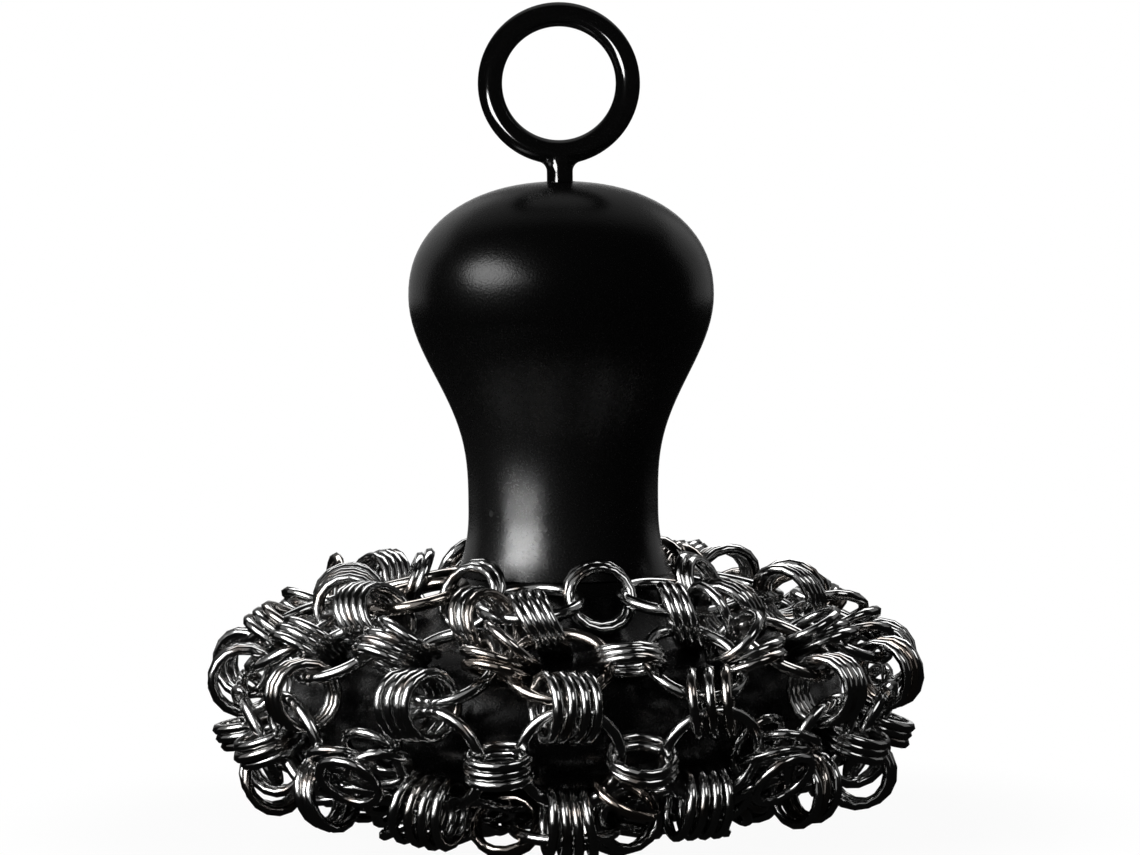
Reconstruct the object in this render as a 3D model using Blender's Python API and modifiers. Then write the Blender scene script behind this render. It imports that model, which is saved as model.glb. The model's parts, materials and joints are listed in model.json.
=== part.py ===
"""Pan scrubber with a knob handle: a round core in a bag of linked steel rings.

Metres, +Z up. The origin is the middle of the base, on the surface that the lowest clips stand on.
"""
import math

import bpy
from mathutils import Matrix, Vector

MM = 0.001

# Ring mesh: large rings, joined by clips of three small rings each
COLUMNS = 14                    # large rings round the side; the neck and the inner base have half as many
LARGE_RADIUS = 6.4 * MM         # centre line of a large ring
LARGE_WIRE = 1.6 * MM
CLIP_BORE = 3.8 * MM            # radius of the hole through a clip
CLIP_WALL = 1.0 * MM
CLIP_WIDTH = 3.75 * MM          # three small rings side by side
TAUT_GAP = 5.7 * MM             # between the wires of two large rings when their clip is pulled tight
SWIVEL_GAP = 3.6 * MM           # the same at the side clips, which are slack enough to swivel
INNER_GAP = 4.4 * MM            # the same between the middle ring of the base and the rings round it
WELD_REACH = 3.4 * MM           # least distance from a clip's middle to the wire that it is fast on
CLIP_PUSH = 1.0 * MM            # how far a clip between two lower rings stands out of the mesh
NECK_CLIP_SINK = 0.8 * MM       # how far a clip between two neck rings hangs into it

# Shape of the bag, in degrees below level, going outwards
NECK_SLOPE = 15.0
UPPER_SLOPE = 36.0
SIDE_CLIP_SLOPE = 80.0
LOWER_SLOPE = 104.0
BASE_SLOPE = -16.0              # the outer row of the base turns up into a bowl
BASE_CLIP_LEAN = 65.0           # from upright, where a lower ring pulls on its base clip
BASE_CLIP_RISE = 1.0 * MM       # from the ground to the clips of the lower rings
NECK_RISE = 4.0 * MM            # the neck rings lie this far above the top of the upper rings
NECK_CLIP_LEAN = 30.0           # small rings lie over like dominoes, outer side up the slope
UPPER_CLIP_LEAN = -45.0         # the same, outer side down it
LINK_CLIP_LEAN = 35.0           # sideways, from the neck to the upper rings
BASE_HEIGHT = 2.0 * MM          # wire of the rings under the core
BASE_ROW_HEIGHT = 3.1 * MM      # the same in the outer row, at its middle

# Core, a round puck
RIM_ROUND = 10.0 * MM
UNDER_ROUND = 6.0 * MM
SOCKET_DEPTH = 8.0 * MM
RECESS_RADIUS = 6.6 * MM        # for the screw head and its washer
RECESS_DEPTH = 9.0 * MM

# Handle, turned
KNOB_RADIUS = 20.0 * MM
KNOB_CROWN = 14.9 * MM          # from the widest part up to the top
KNOB_TAPER = 27.6 * MM          # from the widest part down to the neck
NECK_RADIUS = 12.45 * MM
NECK_FLARE = 8.7 * MM           # height of the flare below the neck
FOOT_RADIUS = 14.1 * MM
TENON_RADIUS = 8.0 * MM
CROWN_POWER = 2.2
TAPER_POWER = 1.6
FLARE_POWER = 2.5

# Screw eye in the top of the handle
EYE_RADIUS = 9.0 * MM           # centre line
EYE_WIRE = 3.2 * MM
EYE_STEM_RADIUS = 1.7 * MM
EYE_STEM_RISE = 2.4 * MM        # from the top of the handle to the bottom of the eye
EYE_TIP_RADIUS = 0.7 * MM
EYE_DEPTH = 20.0 * MM           # in the handle

# Screw that holds the core on the handle
SCREW_RADIUS = 2.5 * MM
SCREW_HEAD_RADIUS = 4.5 * MM
SCREW_HEAD_HEIGHT = 3.3 * MM
SCREW_HEAD_EDGE = 2.0 * MM      # straight side of the head, below which it is domed
SCREW_HEAD_FACE = 2.7 * MM      # radius of the flat at the end of the head
SCREW_TIP_RADIUS = 1.75 * MM
SCREW_GRIP = 10.0 * MM          # in the handle, above the tenon
WASHER_RADIUS = 6.0 * MM
WASHER_THICKNESS = 1.0 * MM

FIT_GAP = 0.3 * MM              # between pieces that meet
LINK_GAP = 0.4 * MM             # between a clip and a wire that runs free in it

# Facets
LARGE_SEGMENTS = 12
LARGE_SIDES = 4
CLIP_SEGMENTS = 8
SIDE_CLIP_SEGMENTS = 12
TURNED_STEPS = 32
EYE_STEPS = 24
EYE_SIDES = 8
ARC_STEPS = 4
MERGE_DISTANCE = 0.01 * MM
CURVE_STEPS = 6

# What follows from the sizes above
CLIP_OUTER = CLIP_BORE + CLIP_WALL
CLIP_FLAT = CLIP_OUTER * math.cos(math.pi / CLIP_SEGMENTS)
HALF_COLUMN = math.pi / COLUMNS
RING_SAG = LARGE_RADIUS - math.sqrt(LARGE_RADIUS ** 2 - (CLIP_WIDTH / 2) ** 2)
FREE_REACH = CLIP_BORE * math.cos(math.pi / CLIP_SEGMENTS) - LARGE_WIRE / 2 - RING_SAG - LINK_GAP


def down_slope(point, length, slope):
    """The (radius, height) reached from a point of the meridian by going down a slope, outwards."""
    angle = math.radians(slope)
    return (point[0] + length * math.cos(angle), point[1] - length * math.sin(angle))


# Rows of the bag on its meridian, as (radius, height), worked out from the base upwards
LOWER_RADIUS = (2 * LARGE_RADIUS + TAUT_GAP) / (2 * math.sin(HALF_COLUMN))
LOWER_END_RADIUS = down_slope((LOWER_RADIUS, 0), LARGE_RADIUS, LOWER_SLOPE)[0]
BASE_CLIP = (LOWER_END_RADIUS - WELD_REACH * math.sin(math.radians(BASE_CLIP_LEAN)), CLIP_FLAT + BASE_CLIP_RISE)
LOWER_END = (LOWER_END_RADIUS, BASE_CLIP[1] + WELD_REACH * math.cos(math.radians(BASE_CLIP_LEAN)))
LOWER_ROW = down_slope(LOWER_END, -LARGE_RADIUS, LOWER_SLOPE)
LOWER_TOP = down_slope(LOWER_ROW, -LARGE_RADIUS, LOWER_SLOPE)
SIDE_CLIP = down_slope(LOWER_TOP, -SWIVEL_GAP / 2, SIDE_CLIP_SLOPE)
UPPER_END = down_slope(SIDE_CLIP, -SWIVEL_GAP / 2, SIDE_CLIP_SLOPE)
UPPER_ROW = down_slope(UPPER_END, -LARGE_RADIUS, UPPER_SLOPE)
UPPER_TOP = down_slope(UPPER_ROW, -LARGE_RADIUS, UPPER_SLOPE)
NECK_REACH = math.sqrt((LARGE_RADIUS + TAUT_GAP) ** 2 - NECK_RISE ** 2
                       - (UPPER_TOP[0] * math.sin(HALF_COLUMN)) ** 2)
NECK_ROW = (UPPER_TOP[0] * math.cos(HALF_COLUMN) - NECK_REACH, UPPER_TOP[1] + NECK_RISE)
BASE_ROW = ((2 * LARGE_RADIUS + LARGE_WIRE + LINK_GAP) / (2 * math.sin(HALF_COLUMN)), BASE_ROW_HEIGHT)
INNER_ROW = (2 * LARGE_RADIUS + INNER_GAP, BASE_HEIGHT)

# The core fills the bag, clear of the clips
CLIP_DEPTH = CLIP_OUTER - CLIP_PUSH + FIT_GAP
CORE_RADIUS = LOWER_RADIUS * math.cos(HALF_COLUMN) - CLIP_DEPTH
CORE_BOTTOM = 2 * CLIP_FLAT + LINK_GAP
RIM_RADIUS = CORE_RADIUS - RIM_ROUND
RIM_OFFSET = UPPER_ROW[0] * math.cos(HALF_COLUMN) - RIM_RADIUS
RIM_HEIGHT = UPPER_ROW[1] - (RIM_ROUND + CLIP_DEPTH - RIM_OFFSET * math.sin(math.radians(UPPER_SLOPE))
                             ) / math.cos(math.radians(UPPER_SLOPE))
FOOT_HEIGHT = NECK_ROW[1] - LARGE_WIRE / 2 + FIT_GAP
CORE_TOP = FOOT_HEIGHT - FIT_GAP
SOCKET_FLOOR = CORE_TOP - SOCKET_DEPTH
RECESS_CEILING = CORE_BOTTOM + RECESS_DEPTH
SCREW_BORE = SCREW_RADIUS + FIT_GAP
KNOB_HEIGHT = FOOT_HEIGHT + NECK_FLARE + KNOB_TAPER
HANDLE_TOP = KNOB_HEIGHT + KNOB_CROWN
EYE_HEIGHT = HANDLE_TOP + EYE_STEM_RISE + EYE_WIRE / 2 + EYE_RADIUS


def clear_scene():
    for item in list(bpy.data.objects):
        bpy.data.objects.remove(item, do_unlink=True)


def new_collection(name):
    collection = bpy.data.collections.new(name)
    bpy.context.scene.collection.children.link(collection)
    return collection


def new_material(name, colour, metallic, roughness):
    material = bpy.data.materials.new(name)
    material.use_nodes = True
    shader = material.node_tree.nodes["Principled BSDF"]
    shader.inputs["Base Color"].default_value = (*colour, 1.0)
    shader.inputs["Metallic"].default_value = metallic
    shader.inputs["Roughness"].default_value = roughness
    return material


def turned(name, profile, steps, closed, collection):
    """A lathe shape about Z. The profile runs down its outer side; a closed one is a ring's section."""
    mesh = bpy.data.meshes.new(name)
    edges = [(i, i + 1) for i in range(len(profile) - 1)]
    if closed:
        edges.append((len(profile) - 1, 0))
    mesh.from_pydata([(radius, 0, height) for radius, height in profile], edges, [])
    item = bpy.data.objects.new(name, mesh)
    collection.objects.link(item)
    screw = item.modifiers.new("Turn", "SCREW")
    screw.steps = steps
    screw.render_steps = steps
    screw.use_merge_vertices = True
    screw.merge_threshold = MERGE_DISTANCE
    return item


def applied(item):
    """The evaluated mesh of an object, which is removed."""
    graph = bpy.context.evaluated_depsgraph_get()
    mesh = bpy.data.meshes.new_from_object(item.evaluated_get(graph))
    bpy.data.objects.remove(item, do_unlink=True)
    return mesh


def large_ring_mesh():
    """One large ring, flat in XY, with the middle of a facet at each end of X and Y."""
    bpy.ops.mesh.primitive_torus_add(major_segments=LARGE_SEGMENTS, minor_segments=LARGE_SIDES,
                                     major_radius=LARGE_RADIUS, minor_radius=LARGE_WIRE / 2)
    mesh = applied(bpy.context.object)
    mesh.transform(Matrix.Rotation(math.pi / LARGE_SEGMENTS, 4, "Z"))
    return mesh


def clip_mesh(segments, cutters):
    """The three small rings of a clip as one band about Z, with a facet's middle at each end of X."""
    half = CLIP_WIDTH / 2
    section = [(CLIP_OUTER, half), (CLIP_OUTER, -half), (CLIP_BORE, -half), (CLIP_BORE, half)]
    mesh = applied(turned("clip", section, segments, True, cutters))
    mesh.transform(Matrix.Rotation(math.pi / segments, 4, "Z"))
    return mesh


def leaning(mesh, lean):
    """A clip whose small rings lie over by so many degrees, like fallen dominoes."""
    angle = math.radians(lean)
    slanted = mesh.copy()
    slant = Matrix.Identity(4)
    slant[1][1] = math.cos(angle)
    slant[2][1] = math.sin(angle)
    slanted.transform(slant)
    return slanted


def frame(x_axis, z_axis, place):
    """The matrix of a piece from two of its axes and its place; Y completes them."""
    x_axis = x_axis.normalized()
    y_axis = z_axis.cross(x_axis).normalized()
    z_axis = x_axis.cross(y_axis)
    return Matrix.Translation(place) @ Matrix((x_axis, y_axis, z_axis)).transposed().to_4x4()


def ring_frame(row, slope, azimuth):
    """A large ring of a row: X points down the slope, Z out of the mesh."""
    angle = math.radians(slope)
    outward = Vector((math.cos(azimuth), math.sin(azimuth), 0))
    up = Vector((0, 0, 1))
    return frame(outward * math.cos(angle) - up * math.sin(angle),
                 outward * math.sin(angle) + up * math.cos(angle),
                 outward * row[0] + up * row[1])


def ring_row(row, slope, count, first):
    """The matrices of a row's rings; azimuths count from the front, -Y, in column steps."""
    step = 2 * math.pi / count
    return [ring_frame(row, slope, -math.pi / 2 + first * 2 * HALF_COLUMN + i * step) for i in range(count)]


def place_on(point, ring):
    """A point of the meridian, in the upright plane through a ring and the axis."""
    outward = ring.translation.copy()
    outward.z = 0
    return outward.normalized() * point[0] + Vector((0, 0, point[1]))


def rim_point(ring, towards):
    """The point of a large ring's wire that is nearest to another point."""
    place = ring.translation
    normal = ring.col[2].to_3d()
    aim = towards - place
    aim -= normal * aim.dot(normal)
    return place + aim.normalized() * LARGE_RADIUS


def link_frame(own, other, push):
    """A clip that is fast on one ring's wire, while the other ring's wire runs free in it."""
    start = rim_point(own, other.translation)
    end = rim_point(other, start)
    start = rim_point(own, end)
    pull = start - end
    normal = (own.col[2].to_3d() + other.col[2].to_3d()).normalized()
    normal = (normal - pull.normalized() * normal.dot(pull.normalized())).normalized()
    reach = min(math.sqrt(FREE_REACH ** 2 - push ** 2), pull.length - WELD_REACH)
    place = end + pull.normalized() * reach + normal * push
    return frame(pull, pull.cross(normal), place)


def base_link_frame(start, end):
    """A clip of the base, upright with a facet on the ground, round two wires."""
    along = end - start
    along.z = 0
    middle = (start + end) / 2
    return frame(along, along.cross(Vector((0, 0, 1))), Vector((middle.x, middle.y, CLIP_FLAT)))


def place_piece(name, mesh, matrix, material, collection):
    item = bpy.data.objects.new(name, mesh)
    item.matrix_world = matrix
    collection.objects.link(item)
    if material:
        item.data.materials.clear()
        item.data.materials.append(material)
    return item


def fuse(item, clips, cutters):
    """Join clips, each a mesh and its matrix, on a piece with a union for each."""
    for number, (mesh, matrix) in enumerate(clips, 1):
        cutter = place_piece(f"{item.name}_clip_{number}", mesh, matrix, None, cutters)
        cutter.hide_render = True
        cutter.display_type = "WIRE"
        union = item.modifiers.new(f"Clip {number}", "BOOLEAN")
        union.operation = "UNION"
        union.object = cutter


def arc(centre, radius, start, end):
    """Points of an arc in the profile, in degrees from outwards, both ends included."""
    points = []
    for i in range(ARC_STEPS + 1):
        angle = math.radians(start + (end - start) * i / ARC_STEPS)
        points.append((centre[0] + radius * math.cos(angle), centre[1] + radius * math.sin(angle)))
    return points


def handle_profile():
    """From the bottom of the eye's hole, up it, down the outside and up the screw's hole."""
    bore = EYE_STEM_RADIUS + FIT_GAP
    hole_floor = HANDLE_TOP - EYE_DEPTH - FIT_GAP
    points = [(0, hole_floor), (bore, hole_floor)]
    crown_start = math.asin((bore / KNOB_RADIUS) ** (CROWN_POWER / 2))
    for i in range(CURVE_STEPS + 1):
        angle = crown_start + (math.pi / 2 - crown_start) * i / CURVE_STEPS
        radius = KNOB_RADIUS * math.sin(angle) ** (2 / CROWN_POWER)
        points.append((radius, KNOB_HEIGHT + KNOB_CROWN * abs(math.cos(angle)) ** (2 / CROWN_POWER)))
    for i in range(1, CURVE_STEPS + 1):
        share = i / CURVE_STEPS
        swell = ((1 + math.cos(math.pi * share)) / 2) ** TAPER_POWER
        radius = NECK_RADIUS + (KNOB_RADIUS - NECK_RADIUS) * swell
        points.append((radius, KNOB_HEIGHT - KNOB_TAPER * share))
    for i in range(1, ARC_STEPS + 1):
        share = i / ARC_STEPS
        radius = NECK_RADIUS + (FOOT_RADIUS - NECK_RADIUS) * share ** FLARE_POWER
        points.append((radius, KNOB_HEIGHT - KNOB_TAPER - NECK_FLARE * share))
    tenon_end = SOCKET_FLOOR + FIT_GAP
    screw_end = FOOT_HEIGHT + SCREW_GRIP + FIT_GAP
    points += [(TENON_RADIUS, FOOT_HEIGHT), (TENON_RADIUS, tenon_end), (SCREW_BORE, tenon_end)]
    return points + [(SCREW_BORE, screw_end), (0, screw_end)]


def core_profile():
    """From the socket for the handle's tenon, down the outside and up through the screw's recess."""
    socket = TENON_RADIUS + FIT_GAP
    rim_top = RIM_HEIGHT + RIM_ROUND
    points = [(socket, CORE_TOP)]
    for i in range(ARC_STEPS):
        share = 1 - i / ARC_STEPS
        radius = RIM_RADIUS - (RIM_RADIUS - FOOT_RADIUS) * share
        points.append((radius, rim_top + (CORE_TOP - rim_top) * share ** 2))
    points += arc((RIM_RADIUS, RIM_HEIGHT), RIM_ROUND, 90, 0)
    points += arc((CORE_RADIUS - UNDER_ROUND, CORE_BOTTOM + UNDER_ROUND), UNDER_ROUND, 0, -90)
    points += [(RECESS_RADIUS, CORE_BOTTOM), (RECESS_RADIUS, RECESS_CEILING)]
    return points + [(SCREW_BORE, RECESS_CEILING), (SCREW_BORE, SOCKET_FLOOR), (socket, SOCKET_FLOOR)]


def washer_profile():
    top = RECESS_CEILING - FIT_GAP
    bottom = top - WASHER_THICKNESS
    return [(WASHER_RADIUS, top), (WASHER_RADIUS, bottom), (SCREW_BORE, bottom), (SCREW_BORE, top)]


def screw_profile():
    """Pan-head screw, its head down."""
    head_top = RECESS_CEILING - WASHER_THICKNESS - 2 * FIT_GAP
    tip = FOOT_HEIGHT + SCREW_GRIP
    head_end = head_top - SCREW_HEAD_HEIGHT
    return [(0, tip), (SCREW_TIP_RADIUS, tip), (SCREW_RADIUS, tip - SCREW_RADIUS), (SCREW_RADIUS, head_top),
            (SCREW_HEAD_RADIUS, head_top), (SCREW_HEAD_RADIUS, head_top - SCREW_HEAD_EDGE),
            (SCREW_HEAD_FACE, head_end), (0, head_end)]


def make_hanging_eye(material, collection, cutters):
    """A wire ring on a stem; a flat facet of the ring faces its middle."""
    section = []
    for i in range(EYE_SIDES):
        angle = -(i + 0.5) * 2 * math.pi / EYE_SIDES
        section.append((EYE_RADIUS + EYE_WIRE / 2 * math.cos(angle), EYE_WIRE / 2 * math.sin(angle)))
    mesh = applied(turned("eye", section, EYE_STEPS, True, collection))
    mesh.transform(Matrix.Rotation(math.pi / EYE_STEPS, 4, "Z"))
    upright = Matrix.Translation((0, 0, EYE_HEIGHT)) @ Matrix.Rotation(math.pi / 2, 4, "X")
    eye = place_piece("hanging_eye", mesh, upright, material, collection)
    stem_top = EYE_HEIGHT - EYE_RADIUS
    stem_end = HANDLE_TOP - EYE_DEPTH
    profile = [(0, stem_top), (EYE_STEM_RADIUS, stem_top), (EYE_STEM_RADIUS, stem_end + EYE_STEM_RADIUS),
               (EYE_TIP_RADIUS, stem_end), (0, stem_end)]
    stem = turned("hanging_eye_stem", profile, EYE_STEPS // 2, False, cutters)
    stem.hide_render = True
    stem.display_type = "WIRE"
    union = eye.modifiers.new("Stem", "BOOLEAN")
    union.operation = "UNION"
    union.object = stem
    return eye


def make_bag(steel, collection, cutters):
    """The mesh of rings: neck, upper, side clips, lower and base."""
    ring = large_ring_mesh()
    clip = clip_mesh(CLIP_SEGMENTS, cutters)
    loose_clip = clip_mesh(SIDE_CLIP_SEGMENTS, cutters)
    neck_clip = leaning(clip, NECK_CLIP_LEAN)
    upper_clip = leaning(clip, UPPER_CLIP_LEAN)
    link_clip = leaning(clip, LINK_CLIP_LEAN)
    pairs = COLUMNS // 2
    neck = ring_row(NECK_ROW, NECK_SLOPE, pairs, -0.5)
    upper = ring_row(UPPER_ROW, UPPER_SLOPE, COLUMNS, 0)
    lower = ring_row(LOWER_ROW, LOWER_SLOPE, COLUMNS, 0)
    base = ring_row(BASE_ROW, BASE_SLOPE, COLUMNS, 0)
    inner = ring_row(INNER_ROW, 0, pairs, 0.5)
    for i in range(pairs):
        item = place_piece(f"neck_ring_{i + 1:02d}", ring.copy(), neck[i], steel, collection)
        fuse(item, [(neck_clip, link_frame(neck[i], neck[(i + 1) % pairs], -NECK_CLIP_SINK))], cutters)
    for i in range(COLUMNS):
        item = place_piece(f"upper_ring_{i + 1:02d}", ring.copy(), upper[i], steel, collection)
        clips = [(upper_clip, link_frame(upper[i], upper[(i + 1) % COLUMNS], 0)),
                 (link_clip, link_frame(upper[i], neck[(i + 1) // 2 % pairs], 0))]
        fuse(item, clips, cutters)
    for i in range(COLUMNS):
        item = place_piece(f"lower_ring_{i + 1:02d}", ring.copy(), lower[i], steel, collection)
        base_clip = frame(Vector((0, 0, 1)), lower[i].col[1].to_3d(), place_on(BASE_CLIP, lower[i]))
        clips = [(clip, link_frame(lower[i], lower[(i + 1) % COLUMNS], CLIP_PUSH)), (clip, base_clip)]
        fuse(item, clips, cutters)
    for i in range(COLUMNS):
        top = place_on(UPPER_END, upper[i])
        bottom = place_on(LOWER_TOP, lower[i])
        matrix = frame(top - bottom, upper[i].col[1].to_3d(), (top + bottom) / 2)
        place_piece(f"side_clip_{i + 1:02d}", loose_clip.copy(), matrix, steel, collection)
    make_base(ring, clip, base, inner, steel, collection, cutters)


def make_base(ring, clip, base, inner, steel, collection, cutters):
    """The net under the core: two rows of rings and one in the middle, all joined."""
    centre = Matrix.Translation((0, 0, BASE_HEIGHT))
    net = place_piece("base_net", ring.copy(), centre, steel, collection)
    parts = bpy.data.collections.new("base net parts")
    cutters.children.link(parts)
    for number, matrix in enumerate(base + inner):
        place_piece(f"base_ring_{number}", ring, matrix, None, parts)
    clips = []
    for i, middle in enumerate(inner):
        start = rim_point(centre, middle.translation)
        clips.append(base_link_frame(start, rim_point(middle, centre.translation)))
        for outer in (base[2 * i], base[2 * i + 1]):
            end = rim_point(outer, middle.translation)
            clips.append(base_link_frame(rim_point(middle, end), end))
    for number, matrix in enumerate(clips):
        place_piece(f"base_clip_{number}", clip, matrix, None, parts)
    for part in parts.objects:
        part.hide_render = True
        part.display_type = "WIRE"
    union = net.modifiers.new("Net", "BOOLEAN")
    union.operation = "UNION"
    union.operand_type = "COLLECTION"
    union.collection = parts


def make_knob(lacquer, screw_steel, eye_steel, collection, cutters):
    """Handle, core, the screw and washer between them, and the eye."""
    pieces = [turned("handle", handle_profile(), TURNED_STEPS, False, collection),
              turned("core", core_profile(), TURNED_STEPS, True, collection)]
    for piece in pieces:
        piece.data.materials.append(lacquer)
    pieces = [turned("core_screw", screw_profile(), TURNED_STEPS // 2, False, collection),
              turned("screw_washer", washer_profile(), TURNED_STEPS // 2, True, collection)]
    for piece in pieces:
        piece.data.materials.append(screw_steel)
    make_hanging_eye(eye_steel, collection, cutters)


def main():
    clear_scene()
    collection = new_collection("pan_scrubber")
    cutters = new_collection("cutters")
    lacquer = new_material("black_lacquer", (0.012, 0.012, 0.012), 0.0, 0.35)
    steel = new_material("ring_steel", (0.55, 0.54, 0.52), 1.0, 0.18)
    screw_steel = new_material("zinc_plated_steel", (0.62, 0.62, 0.6), 1.0, 0.35)
    eye_steel = new_material("black_painted_steel", (0.01, 0.01, 0.01), 0.2, 0.15)
    make_knob(lacquer, screw_steel, eye_steel, collection, cutters)
    make_bag(steel, collection, cutters)


main()
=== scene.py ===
# %% [markdown]
# A pan scrubber with a knob handle
#
# The real object is three things in one: a turned black knob on a round black core, a bag of linked
# steel rings drawn round that core, and a screw eye in the top to hang it by. The knob and the eye are
# simple turned and bent shapes. The bag is the hard part, because none of its rings is fixed: each one
# lies where its neighbours, the core and the ground let it. So the bag is laid out by a rule, then left
# to settle, and Geometry Nodes put a ring of wire at every place that comes out.

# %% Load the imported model
import json
import math

import bpy
import numpy as np
from mathutils import Matrix, Quaternion, Vector

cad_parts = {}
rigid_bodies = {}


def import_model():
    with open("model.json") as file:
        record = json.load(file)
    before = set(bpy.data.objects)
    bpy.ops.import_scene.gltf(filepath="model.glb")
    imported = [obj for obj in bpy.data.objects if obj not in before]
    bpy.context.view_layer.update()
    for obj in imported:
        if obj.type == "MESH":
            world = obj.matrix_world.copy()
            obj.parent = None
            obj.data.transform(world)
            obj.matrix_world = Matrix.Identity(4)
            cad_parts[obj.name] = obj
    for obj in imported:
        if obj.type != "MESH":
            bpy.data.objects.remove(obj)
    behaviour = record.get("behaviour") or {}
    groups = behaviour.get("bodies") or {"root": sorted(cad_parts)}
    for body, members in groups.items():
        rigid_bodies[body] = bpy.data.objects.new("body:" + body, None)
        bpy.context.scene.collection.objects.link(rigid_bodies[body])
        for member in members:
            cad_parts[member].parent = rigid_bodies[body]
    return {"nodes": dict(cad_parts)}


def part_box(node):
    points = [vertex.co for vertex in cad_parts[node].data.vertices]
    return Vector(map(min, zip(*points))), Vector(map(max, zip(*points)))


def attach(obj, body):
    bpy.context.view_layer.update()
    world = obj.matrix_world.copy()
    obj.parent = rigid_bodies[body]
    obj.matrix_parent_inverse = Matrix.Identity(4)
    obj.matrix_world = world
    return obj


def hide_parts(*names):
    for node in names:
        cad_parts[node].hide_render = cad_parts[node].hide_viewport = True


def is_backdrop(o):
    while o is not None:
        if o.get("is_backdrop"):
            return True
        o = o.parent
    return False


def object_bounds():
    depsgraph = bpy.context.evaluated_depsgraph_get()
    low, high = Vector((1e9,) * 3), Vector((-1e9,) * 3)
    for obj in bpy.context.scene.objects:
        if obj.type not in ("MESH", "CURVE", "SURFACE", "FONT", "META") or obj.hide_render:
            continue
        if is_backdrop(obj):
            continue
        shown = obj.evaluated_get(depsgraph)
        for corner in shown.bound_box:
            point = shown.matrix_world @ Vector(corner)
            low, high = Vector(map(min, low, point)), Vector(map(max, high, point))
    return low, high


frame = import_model()
cad_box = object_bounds()
nodes = frame["nodes"]
MM = 0.001

# %% [markdown]
# The camera comes first, because everything else is judged through it. The photograph is taken with a
# long lens from about a metre away, five degrees above level: the near and the far rings of the bag are
# almost the same size in it. A pixel of it is 0.131 mm at the object, which gives the lens.

# %% Camera
PHOTO_WIDTH = 1140
PIXEL = 0.131 * MM
VIEW_DISTANCE = 1.0
VIEW_ELEVATION = math.radians(5)
VIEW_ROLL = math.radians(0.6)   # the object leans this much to the left in the picture
AXIS_COLUMN = 562.5             # pixel column of the handle's axis
MIDDLE_HEIGHT = 52.75 * MM      # height at the middle of the picture
SENSOR_WIDTH = 36.0


def new_object(name, data):
    """Puts data, such as a mesh or a lamp, into the scene as an object."""
    item = bpy.data.objects.new(name, data)
    bpy.context.scene.collection.objects.link(item)
    return item


camera = new_object("camera", bpy.data.cameras.new("camera"))
bpy.context.scene.camera = camera
camera.data.sensor_width = SENSOR_WIDTH
camera.data.lens = SENSOR_WIDTH * VIEW_DISTANCE / (PHOTO_WIDTH * PIXEL)
target = Vector(((PHOTO_WIDTH / 2 - AXIS_COLUMN) * PIXEL, 0, MIDDLE_HEIGHT))
away = Vector((0, -math.cos(VIEW_ELEVATION), math.sin(VIEW_ELEVATION)))
camera.location = target + away * VIEW_DISTANCE
aim = (-away).to_track_quat("-Z", "Y") @ Quaternion((0, 0, 1), -VIEW_ROLL)
camera.rotation_euler = aim.to_euler()
print("lens", round(camera.data.lens, 1), "mm")

# %% [markdown]
# Materials, the world and the rings are all trees of nodes. Three helpers keep the script that builds them
# short: a node gets its settings and its inputs in one call, and an input takes a number or the output of
# another node alike.

# %% Node helpers


def add_node(tree, kind, feeds=None, **settings):
    """A node with its settings. Feeds gives its inputs, by name or number, a value or a socket to read."""
    node = tree.nodes.new(kind)
    for name, value in settings.items():
        setattr(node, name, value)
    for name, value in (feeds or {}).items():
        if isinstance(value, bpy.types.NodeSocket):
            tree.links.new(value, node.inputs[name])
        else:
            node.inputs[name].default_value = value
    return node


def math_node(tree, operation, *values):
    """A Math node; its inputs are numbers or sockets."""
    return add_node(tree, "ShaderNodeMath", dict(enumerate(values)), operation=operation).outputs[0]


def smooth_step(tree, value, **limits):
    """Takes a value smoothly from one level to another; limits such as From_Min name the range."""
    feeds = {name.replace("_", " "): limit for name, limit in limits.items()}
    return add_node(tree, "ShaderNodeMapRange", {"Value": value, **feeds},
                    interpolation_type="SMOOTHSTEP").outputs["Result"]


# %% [markdown]
# The photograph has a pure white ground with the object lit from the front left. White comes from the
# world, where camera rays see a strength of 1. Metal has to show that white too, but only where the
# backdrop of a studio would stand, behind the object: the room on the camera's side is dark, and that
# is what makes polished rings look black with bright lines. Matt surfaces get an even grey light.

# %% World
ROOM_GREY = 0.25                # light that reaches matt surfaces from all round
ROOM_DARK = 0.006               # what polished surfaces see of the room
BACKDROP = (1.0, (0, 1, 0), 14, 5)              # strength, direction, outer and inner angle
CEILING_GLOW = (0.16, (0, 0.77, 0.64), 50, 20)


def glow_towards(tree, direction, strength, centre, edge, full):
    """A soft round patch of light in the world, as a strength socket; the angles are in degrees."""
    towards = add_node(tree, "ShaderNodeVectorMath", {0: direction, 1: Vector(centre).normalized()},
                       operation="DOT_PRODUCT")
    return smooth_step(tree, towards.outputs["Value"], From_Min=math.cos(math.radians(edge)),
                       From_Max=math.cos(math.radians(full)), To_Max=strength)


def seen_directly(tree, light_path):
    """1 where the camera looks, straight or through glass."""
    return math_node(tree, "MAXIMUM", light_path.outputs["Is Camera Ray"],
                     light_path.outputs["Is Transmission Ray"])


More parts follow.
